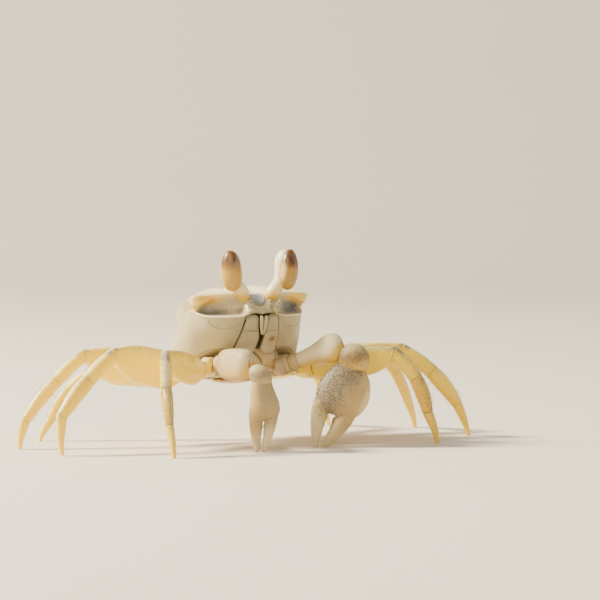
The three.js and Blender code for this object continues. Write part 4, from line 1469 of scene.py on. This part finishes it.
class ClawPlan:
    """Where the parts of a claw lie: root, wrist, and the axes of the hand."""

    def __init__(self, name, side):
        sizes = CLAWS[name]
        self.name, self.big = name, name == "left"
        self.arm, self.wrist, self.hand = sizes["arm"], sizes["wrist"], sizes["hand"]
        self.root = from_body(vec(side, 1, 1) * np.array(sizes["hip"]))
        elbow = self.root + direction(self.arm["heading"], self.arm["elevation"]) * self.arm["length"]
        self.wrist_axis = direction(self.wrist["heading"], self.wrist["elevation"])
        self.wrist_centre = elbow + self.wrist_axis * self.wrist["shift"]
        self.cuff_end = self.wrist_centre - UP * self.hand["drop"]
        fall = -np.degrees(np.arcsin(min(self.cuff_end[2] / self.hand["length"], 1)))
        self.axis = direction(self.hand["heading"], fall)
        self.reach = self.cuff_end[2] / -self.axis[2]
        across = np.array(self.hand["spread"], dtype=float)
        self.spread = unit(across - self.axis * np.dot(across, self.axis))
        self.face = unit(np.cross(self.axis, self.spread))

    def at(self, share, out):
        """The point at a share of the hand's length and a distance out from its middle line."""
        return self.cuff_end + self.axis * (share * self.reach) + self.spread * out

    def floor_at(self, out):
        """Where the hand's end meets the floor."""
        return self.at(1, out) * vec(1, 1, 0)

    def shares_along(self, points):
        """Shares of the hand's length at which points lie."""
        return (points - self.cuff_end) @ self.axis / self.reach


def finger_rings(root, tip, bow, breadth, thickness, across):
    """Curved tapering finger from a root to a tip on the floor, bowed away from its partner."""
    t = np.linspace(0, 1, FINGER_ROWS)[:, None]
    middle = lerp(root, tip, 0.5) + bow
    centres = (1 - t) ** 2 * root + 2 * t * (1 - t) * middle + t**2 * tip
    tangents = unit(2 * (1 - t) * (middle - root) + 2 * t * (tip - middle))
    taper = evenly((1, 0.92, 0.8, 0.64, 0.45, FINGERTIP_RADIUS / breadth * 2), t[:, 0])[:, 0]
    side = unit(across - tangents * (tangents @ across)[:, None])
    out = np.cross(tangents, side)
    rings = rings_round(centres, side, out, thickness / 2 * taper, breadth / 2 * taper, 40)
    rings[..., 2] = np.maximum(rings[..., 2], 0)
    return rings


class CRAB_OT_claws(bpy.types.Operator):
    """Build the two claws: arm, wrist, palm with its fixed finger, and movable finger"""

    bl_idname = "crab.claws"
    bl_label = "Claws"

    def execute(self, context):
        for name, side in SIDES:
            plan = ClawPlan(name, side)
            self.arm(plan)
            self.wrist(plan)
            self.palm(plan)
            self.finger(plan)
        return {"FINISHED"}

    def arm(self, plan):
        """The arm, which swells to a yellow cuff and has a pale crest along its top."""
        breadths = plan.arm["breadths"]
        stations = [[share, b, b * 0.74, 0] for share, b in zip(np.linspace(0, 1, len(breadths)), breadths)]
        stations[-1][1:3] = [stations[-2][1] * 0.95, stations[-2][2] * 0.98]
        segment = {**plan.arm, "roll": 0, "stations": stations, "rows": ARM_ROWS}
        segment["end_round"] = breadths[-2] * 0.37
        part = limb_rings(plan.root, [segment], ARM_SIDES, False)[0]
        share, from_top = part["shares"], angles_from_top(ARM_SIDES)
        from_wrist = np.linalg.norm(part["rings"] - plan.wrist_centre, axis=-1)
        wrist_radius = plan.wrist["breadth"] * 0.5
        cuff = bump(from_wrist, wrist_radius + 1.0, 0.7) * smoothstep(share, 0.6, 0.8)
        below = smoothstep(from_top, 1.5, 2.4)
        pearl = (0.75 if plan.big else 0.2) * (1 - cuff) * smoothstep(share, 0.15, 0.4) * (1 - below)
        crease = (0.6 * bump(share, 0.13, 0.01) + 0.5 * bump(share, 0.27, 0.008)) * plan.big
        crease = crease + 0.35 * bump(from_wrist, wrist_radius + 0.15, 0.15) * (share > 0.8)
        skin = Skin().loft(
            part["rings"],
            glow=np.clip(0.9 * cuff + 0.6 * below * smoothstep(share, 0.1, 0.4), 0, 1),
            pearl=pearl,
            crease=crease,
            granular=0.5 * bump(from_top, 0, 0.8) * smoothstep(share, 0.45, 0.6),
            slate=0.0 if plan.big else 0.12,
        )
        place(f"claw_{plan.name}_arm", skin, claw_finish(), "claw", f"claw_{plan.name}_merus")

    def wrist(self, plan):
        """A rounded wrist with a granular band across its upper half."""
        axis, centre, length = plan.wrist_axis, plan.wrist_centre, plan.wrist["length"]
        up = unit(np.cross(np.cross(UP, axis), axis))
        half, half_thickness = plan.wrist["breadth"] / 2, plan.wrist["thickness"] / 2
        rings = ovoid(centre, axis, up, length, half, half_thickness, sides=72, rows=80)
        height = (rings[..., 2] - centre[2]) / half
        along = (rings - centre) @ axis / length * 2
        band = bump(height, 0.1, 0.5) * smoothstep(-along, -0.9, 0.1)
        granular = band * (1.0 if plan.big else 0.6)
        skin = Skin().loft(
            rings,
            pearl=0.2 * smoothstep(height, 0.3, 0.9),
            slate=0.2 + (-0.1 if plan.big else 0.1) * band,
            glow=(0.8 if plan.big else 0.35) * fade(height, -0.6, 0.2) + 0.4 * band * plan.big,
            rust=0.3 * granular,
            granular=granular,
            crease=0.46 * granular,
        )
        place(f"claw_{plan.name}_wrist", skin, claw_finish(), "claw", f"claw_{plan.name}_carpus")

    def palm(self, plan):
        """The palm and its fixed finger, fused to one skin."""
        hand = plan.hand
        breadth, thickness, bulge = hand["breadth"], hand["thickness"], hand["bulge"]
        shares = np.linspace(0, PALM_END, 70)
        wide, thick, shift = through(PALM_STATIONS[plan.name], shares).T
        centres = [plan.at(s * hand["palm"], b * bulge * breadth) for s, b in zip(shares, shift)]
        wide, thick = breadth / 2 * wide, thickness / 2 * thick
        rings = rings_round(np.array(centres), plan.spread, plan.face, wide, thick, sides=72, squareness=2.2)
        root = plan.at(hand["palm"] * 0.82, (0.6 * max(bulge, 0) - 0.21) * breadth)
        bow = -plan.spread * hand["bow"] * breadth
        blade = breadth * hand["blades"], thickness * BLADE_THICKNESS
        fixed = finger_rings(root, plan.floor_at(-TIP_GAP), bow, *blade, plan.face)
        skin = Skin().loft(rings).loft(fixed)
        self.teeth(skin, fixed, plan.spread, 0.028 * breadth)
        name = f"claw_{plan.name}_palm_shell"
        mesh = fused(skin, name, voxel=0.14, rounds=5)

        points = points_of(mesh)
        along = plan.shares_along(points)
        out = (points - plan.cuff_end) @ plan.spread / breadth
        toward = (points - plan.cuff_end) @ plan.face / thickness
        top = smoothstep(out, -0.2, 0.15) + fade(along, 0.12, 0.3) * smoothstep(out, -0.3, -0.05)
        granular = (1.0 if plan.big else 0.4) * np.clip(top, 0, 1) * fade(along, 0.62, 0.8)
        rim = smoothstep(np.abs(out), 0.36, 0.5) * smoothstep(along, 0.1, 0.2) * (out < 0)
        paint(
            mesh,
            granular=granular,
            slate=0.42 * granular,
            crease=0.2 * granular,
            glow=0.5 * rim,
            pearl=0.4 * rim + 0.35 * smoothstep(along, 0.6, 0.9),
            rust=0.18 * (1 - granular) * bump(toward, 0, 1) * bump(out, -0.1, 0.3),
        )
        place(name, mesh, claw_finish(), "claw", f"claw_{plan.name}_palm")

    def finger(self, plan):
        """The movable finger with its teeth, fused to one skin."""
        hand, breadth = plan.hand, plan.hand["breadth"]
        root = plan.at(hand["palm"] * 0.84, (0.6 * max(hand["bulge"], 0) + 0.27) * breadth)
        bow = plan.spread * hand["bow"] * breadth
        blade = breadth * hand["blades"] * 0.92, hand["thickness"] * BLADE_THICKNESS * 0.95
        movable = finger_rings(root, plan.floor_at(TIP_GAP), bow, *blade, plan.face)
        skin = Skin().loft(movable)
        self.teeth(skin, movable, -plan.spread, 0.024 * breadth)
        name = f"claw_{plan.name}_finger_shell"
        mesh = fused(skin, name, voxel=0.12, rounds=3)
        along = plan.shares_along(points_of(mesh))
        paint(
            mesh,
            pearl=0.5 * smoothstep(along, 0.55, 0.8),
            granular=0.8 * fade(along, 0.55, 0.75),
            slate=0.25 * fade(along, 0.5, 0.7),
        )
        place(name, mesh, claw_finish(), "claw", f"claw_{plan.name}_finger")

    def teeth(self, skin, finger, towards, size):
        """A row of low blunt teeth along a finger's cutting edge, every third one larger."""
        for number, row in enumerate(TOOTH_ROWS):
            ring = finger[row]
            edge = ring[np.argmax(ring @ towards)]
            axis = unit(finger[row + 1].mean(axis=0) - ring.mean(axis=0))
            radius = size * (1.3 if number % 3 == 1 else 0.9) * (1 - 0.012 * row + 0.24)
            half, centre = radius * 1.3, edge - towards * radius * 0.4
            across = unit(np.cross(axis, towards))
            skin.loft(ovoid(centre, across, axis, half * 2, half, half, sides=12, rows=10))


# ------------------------------------------------------------------------------------- limb bases

# A limb base reaches from behind the hip to a little way along the limb. [share of that length, share of the
# radius]
BASE_START = -2.2
BASE_END = 3.4
COLLAR = ((0, 0.7), (0.1, 0.95), (0.35, 1.03), (0.6, 1.0), (0.75, 0.95), (0.88, 0.96), (1, 0.7))
CLAW_BASE_RADIUS = 2.25


class CRAB_OT_limb_bases(bpy.types.Operator):
    """Build the ten limb bases that sit along the edge of the breastplate"""

    bl_idname = "crab.limb_bases"
    bl_label = "Limb bases"

    def execute(self, context):
        for name, side in SIDES:
            skin = Skin()
            plan = ClawPlan(name, side)
            heading = lerp(0 if side > 0 else -180, plan.arm["heading"], 0.5)
            self.base(skin, plan.root, direction(heading, plan.arm["elevation"]), CLAW_BASE_RADIUS)
            for number, size in enumerate(LEG_SIZES):
                root, segments = leg_segments(name, side, number)
                axis = direction(segments[0]["heading"], segments[0]["elevation"])
                self.base(skin, root, unit(axis + ACROSS * side * 1.2), 0.125 * size["breadths"][0] + 1.45)
            place(f"limb_bases_{name}", skin, belly_finish(), "belly")
        return {"FINISHED"}

    def base(self, skin, root, axis, radius):
        """A barrel with a rounded collar and a dark suture round it."""
        share = np.linspace(0, 1, 60)[:, None]
        sizes = radius * through(COLLAR, share[:, 0])[:, 0]
        centres = root + axis * lerp(BASE_START, BASE_END, share)
        level = unit(np.cross(axis, UP))
        up = np.cross(level, axis)
        rings = rings_round(centres, level, up, sizes * 0.86, sizes, sides=40, squareness=2.4)
        sutures = 0.9 * bump(share, 0.78, 0.028) + 0.5 * bump(share, 0.4, 0.02)
        # Painted shade: darker at the inner end, where the base meets the body, and a slight olive-grey
        # darkening all over.
        crease = sutures + 0.2 * fade(share, 0.0, 0.1) + 0.06
        skin.loft(rings, crease=crease, slate=0.15, rust=0.08)


# ------------------------------------------------------------------------------------- granules and bristles

# Shells that carry granules: part, size of its granules against the largest ones, and spacing in radii.
GRANULES = {
    "claw_left": (
        ("palm_shell", 1.0, 2.15),
        ("finger_shell", 0.8, 3.0),
        ("wrist", 0.8, 2.8),
        ("arm", 0.6, 5.0),
    ),
    "claw_right": (("palm_shell", 0.5, 4.0), ("arm", 0.5, 5.0)),
    **{
        f"leg_{name}_{number}": tuple((f"{part}_shell", 0.5, spacing) for part in LEG_NAMES[:3])
        for name, _ in SIDES
        for number, spacing in ((1, 3.0), (2, 4.2), (3, 4.2), (4, 4.2))
    },
}
GRANULE_DENSITY = 12.0e6

# Segments that carry bristles, with their length against the longest ones.
BRISTLES = (("propodus", 1.0), ("dactyl", 0.7))
BRISTLE_SPACING = 0.32
BRISTLE_DENSITY = 9.0e6
BRISTLE_SEED = 40

SOCKET_HAIRS = 8
SOCKET_HAIR_RADII = (0.055, 0.045, 0.03)


def strewing_tree(name, paint_name, kind, settings):
    """Node group that strews a small shape over a surface, as thick as one of its painted values says."""
    tree = bpy.data.node_groups.new(name, "GeometryNodeTree")
    sockets = {
        "Surface": "Geometry", "Spacing": "Float", "Density": "Float", "Size": "Float", "Seed": "Int",
        "Finish": "Material",
    }
    for title, socket in sockets.items():
        tree.interface.new_socket(title, in_out="INPUT", socket_type=f"NodeSocket{socket}")
    tree.interface.new_socket("Strewn", in_out="OUTPUT", socket_type="NodeSocketGeometry")
    graph = Graph(tree)
    source = tree.nodes.new("NodeGroupInput")
    surface, spacing, density, size, seed, finish = (Value(graph, output) for output in source.outputs[:6])
    painted = graph.node("GeometryNodeInputNamedAttribute", {"data_type": "FLOAT"}, {"Name": paint_name})
    inputs = {
        "Mesh": surface, "Distance Min": spacing, "Density Max": density, "Density Factor": painted,
        "Seed": seed,
    }
    strewn = graph.node("GeometryNodeDistributePointsOnFaces", {"distribute_method": "POISSON"}, inputs)
    turned_out = Value(graph, strewn.socket.node.outputs["Rotation"])
    one = graph.node("GeometryNodeSetShadeSmooth", {}, {"Geometry": graph.node(kind, {}, settings)})
    vary = graph.node("FunctionNodeRandomValue", {"data_type": "FLOAT"}, {2: 0.55, 3: 1.0}, output=1)
    inputs = {"Points": strewn, "Instance": one, "Rotation": turned_out, "Scale": vary * size}
    placed = graph.node("GeometryNodeInstanceOnPoints", {}, inputs)
    solid = graph.node("GeometryNodeRealizeInstances", {}, {"Geometry": placed})
    dressed = graph.node("GeometryNodeSetMaterial", {}, {"Geometry": solid, "Material": finish})
    graph.node("NodeGroupOutput", {}, {0: dressed})
    return tree


def grown(tree, piece, name, values):
    """Plain mesh of what a node group makes of a finished piece, with its inputs set by name."""
    helper = new_object(name, bpy.data.objects[piece].data.copy())
    modifier = helper.modifiers.new(name, "NODES")
    modifier.node_group = tree
    for item in tree.interface.items_tree:
        if item.in_out == "INPUT" and item.name in values:
            modifier[item.identifier] = values[item.name]
    return made_by_modifiers(helper)


def joined(meshes, name):
    """One mesh of several."""
    gathered = bmesh.new()
    for mesh in meshes:
        gathered.from_mesh(mesh)
    whole = bpy.data.meshes.new(name)
    gathered.to_mesh(whole)
    gathered.free()
    return whole


class CRAB_OT_granules(bpy.types.Operator):
    """Strew granules over the claws and along the upper edges of the legs"""

    bl_idname = "crab.granules"
    bl_label = "Granules"

    def execute(self, context):
        ball = {"Segments": 6, "Rings": 4, "Radius": 1.0}
        tree = strewing_tree("granules", "granular", "GeometryNodeMeshUVSphere", ball)
        finish = plain_finish("granule_cuticle", colour("granule"), 0.4)
        radius = context.scene.crab_sizes.granule
        for seed, (limb, parts) in enumerate(GRANULES.items()):
            title = f"{limb}_granules"
            meshes = []
            for part, size, spacing in parts:
                values = {
                    "Spacing": radius * size * spacing, "Density": GRANULE_DENSITY / size,
                    "Size": radius * size, "Seed": seed, "Finish": finish,
                }
                meshes.append(grown(tree, f"{limb}_{part}", f"{limb}_{part}_granules", values))
            place(title, joined(meshes, title), finish, limb.split("_")[0])
        return {"FINISHED"}


class CRAB_OT_bristles(bpy.types.Operator):
    """Set bristles along the edges of the legs' last segments and in the eye sockets"""

    bl_idname = "crab.bristles"
    bl_label = "Bristles"

    def execute(self, context):
        spike = {"Vertices": 4, "Side Segments": 1, "Radius Top": 0.01, "Radius Bottom": 0.035, "Depth": 1.0}
        tree = strewing_tree("bristles", "bristly", "GeometryNodeMeshCone", spike)
        finish = plain_finish("bristle_cuticle", colour("bristle"), 0.5)
        for name, side in SIDES:
            for number in range(1, len(LEG_SIZES) + 1):
                self.leg_bristles(tree, f"leg_{name}_{number}", BRISTLE_SEED + number, finish)
            self.socket_hairs(name, side, finish)
        return {"FINISHED"}

    def leg_bristles(self, tree, limb, first_seed, finish):
        length = bpy.context.scene.crab_sizes.bristle
        title = f"{limb}_bristles"
        meshes = []
        for seed, (part, size) in enumerate(BRISTLES, first_seed):
            values = {
                "Spacing": BRISTLE_SPACING * MM, "Density": BRISTLE_DENSITY,
                "Size": length * size, "Seed": seed, "Finish": finish,
            }
            meshes.append(grown(tree, f"{limb}_{part}_shell", f"{limb}_{part}_bristles", values))
        place(title, joined(meshes, title), finish, "leg")

    def socket_hairs(self, name, side, finish):
        """Fine dark hairs that rise fanwise from the floor of an eye socket."""
        skin = Skin()
        for number in range(SOCKET_HAIRS):
            share = number / (SOCKET_HAIRS - 1)
            root = vec(side * lerp(8.2, 12.0, share), lerp(2.3, 3.8, share), -2.1 + 0.6 * share)
            root += vec(0.3 * sin(7.0 * number), 0, 0.15 * cos(9.0 * number))
            lean = lerp(-0.5, 0.9, share) + 0.6 * sin(5.0 * number)
            tip = root + vec(side * 0.9 * lean, 0.3, 1.2 + 0.5 * sin(3.0 * number))
            path = (root, lerp(root, tip, 0.5) - vec(0, 0.1, 0), tip)
            skin.loft(from_body(tube(path, SOCKET_HAIR_RADII, rows=5, sides=5)))
        place(f"socket_hairs_{name}", skin, finish, "shell")


# ------------------------------------------------------------------------------------- stage

VIEW_HEADING = radians(-28)
VIEW_RISE = radians(3)
VIEW_WIDTH = 147.783
LENS = 200.0
SENSOR = 36.0

# How far the middle of the view lies to the side of the front lobe and above it.
VIEW_ASIDE = 9.98
VIEW_ABOVE = 0.74

# Name, power, place in metres, width in metres and colour of each lamp.
LAMPS = (
    ("back light", 54.0, (-0.8, 0.4, 0.75), 0.25, (1.0, 0.93, 0.77)),
    ("front light", 5.6, (-0.6, -0.9, 0.6), 0.9, (1.0, 0.95, 0.86)),
    ("side light", 2.2, (0.9, -0.3, 0.4), 0.7, (0.96, 0.97, 1.0)),
)
LIT_POINT = (0, 0, 0.03)

# The floor in metres, seen from the side: its edges, the radius of its sweep and the backdrop's height.
FLOOR_HALF = 2.2
FLOOR_NEAR = -1.6
FLOOR_FAR = 0.75
SWEEP = 0.5
BACKDROP_HEIGHT = 1.6


class CRAB_OT_stage(bpy.types.Operator):
    """Set up the floor, the backdrop, the light and the camera"""

    bl_idname = "crab.stage"
    bl_label = "Stage"

    def execute(self, context):
        across = vec(cos(VIEW_HEADING), sin(VIEW_HEADING), 0)
        ahead = np.cross(UP, across)
        self.floor(across, ahead)
        self.world()
        for lamp in LAMPS:
            self.lamp(*lamp)
        self.camera(across, ahead)
        return {"FINISHED"}

    def floor(self, across, ahead):
        """A plain floor that sweeps up to a backdrop behind the crab."""
        finish, graph, shader = new_finish("floor")
        cloud = graph.noise(0.12)
        tint = graph.mix(cloud.steps(0.3, 0.8) * 0.12, colour("floor"), tone(214, 200, 182))
        graph.feed(shader, {"Base Color": tint, "Roughness": 0.9})
        profile = [(FLOOR_NEAR, 0.0), (FLOOR_FAR, 0.0)]
        for bend in np.linspace(0, pi / 2, 25)[1:]:
            profile.append((FLOOR_FAR + SWEEP * sin(bend), SWEEP * (1 - cos(bend))))
        profile.append((FLOOR_FAR + SWEEP, BACKDROP_HEIGHT))
        points = [x * across * FLOOR_HALF + y * ahead + z * UP for y, z in profile for x in (-1, 1)]
        faces = [(2 * i, 2 * i + 1, 2 * i + 3, 2 * i + 2) for i in range(len(profile) - 1)]
        mesh = bpy.data.meshes.new("floor")
        mesh.from_pydata([tuple(point) for point in points], [], faces)
        mesh.shade_smooth()
        mesh.materials.append(finish)
        new_object("floor", mesh)

    def world(self):
        """Even light from all round."""
        world = bpy.data.worlds.new("soft light")
        world.use_nodes = True
        background = world.node_tree.nodes["Background"]
        background.inputs["Color"].default_value = tone(238, 232, 220)
        background.inputs["Strength"].default_value = 0.46
        bpy.context.scene.world = world

    def lamp(self, name, power, at, width, tint):
        """A square lamp turned towards the crab."""
        data = bpy.data.lights.new(name, "AREA")
        data.energy = power
        data.color = tint
        data.shape = "SQUARE"
        data.size = width
        obj = new_object(name, data)
        obj.location = Vector(at)
        obj.rotation_euler = (Vector(LIT_POINT) - Vector(at)).to_track_quat("-Z", "Y").to_euler()

    def camera(self, across, ahead):
        back = UP * sin(VIEW_RISE) - ahead * cos(VIEW_RISE)
        up = np.cross(back, across)
        target = UP * FRONT_HEIGHT + SHIFT + across * VIEW_ASIDE + up * VIEW_ABOVE
        distance = VIEW_WIDTH * LENS / SENSOR
        data = bpy.data.cameras.new("camera")
        data.lens = LENS
        data.sensor_width = SENSOR
        data.clip_start = 0.01
        obj = new_object("camera", data)
        obj.location = Vector((target + back * distance) * MM)
        obj.rotation_euler = Vector(back).to_track_quat("Z", "Y").to_euler()
        bpy.context.scene.camera = obj


# ------------------------------------------------------------------------------------- add-on

PIECES = (
    CRAB_OT_carapace,
    CRAB_OT_underside,
    CRAB_OT_mouthparts,
    CRAB_OT_feelers,
    CRAB_OT_eyes,
    CRAB_OT_legs,
    CRAB_OT_claws,
    CRAB_OT_limb_bases,
    CRAB_OT_granules,
    CRAB_OT_bristles,
    CRAB_OT_stage,
)


class CRAB_PT_panel(bpy.types.Panel):
    """Lists the crab's sizes, its colours, and its pieces in the order in which they are built"""

    bl_idname = "CRAB_PT_panel"
    bl_label = "Ghost crab"
    bl_space_type = "VIEW_3D"
    bl_region_type = "UI"
    bl_category = "Ghost crab"

    def draw(self, context):
        for group in (context.scene.crab_sizes, context.scene.crab_colours):
            box = self.layout.box()
            for name in group.__annotations__:
                box.prop(group, name)
        for piece in PIECES:
            self.layout.operator(piece.bl_idname)


CLASSES = (CrabSizes, CrabColours, *PIECES, CRAB_PT_panel)


def register():
    for item in CLASSES:
        bpy.utils.register_class(item)
    bpy.types.Scene.crab_sizes = bpy.props.PointerProperty(type=CrabSizes)
    bpy.types.Scene.crab_colours = bpy.props.PointerProperty(type=CrabColours)


def unregister():
    del bpy.types.Scene.crab_sizes
    del bpy.types.Scene.crab_colours
    for item in reversed(CLASSES):
        bpy.utils.unregister_class(item)


def main():
    register()
    bpy.ops.crab.carapace()
    bpy.ops.crab.underside()
    bpy.ops.crab.mouthparts()
    bpy.ops.crab.feelers()
    bpy.ops.crab.eyes()
    bpy.ops.crab.legs()
    bpy.ops.crab.claws()
    bpy.ops.crab.limb_bases()
    bpy.ops.crab.granules()
    bpy.ops.crab.bristles()
    bpy.ops.crab.stage()


if __name__ == "__main__":
    main()
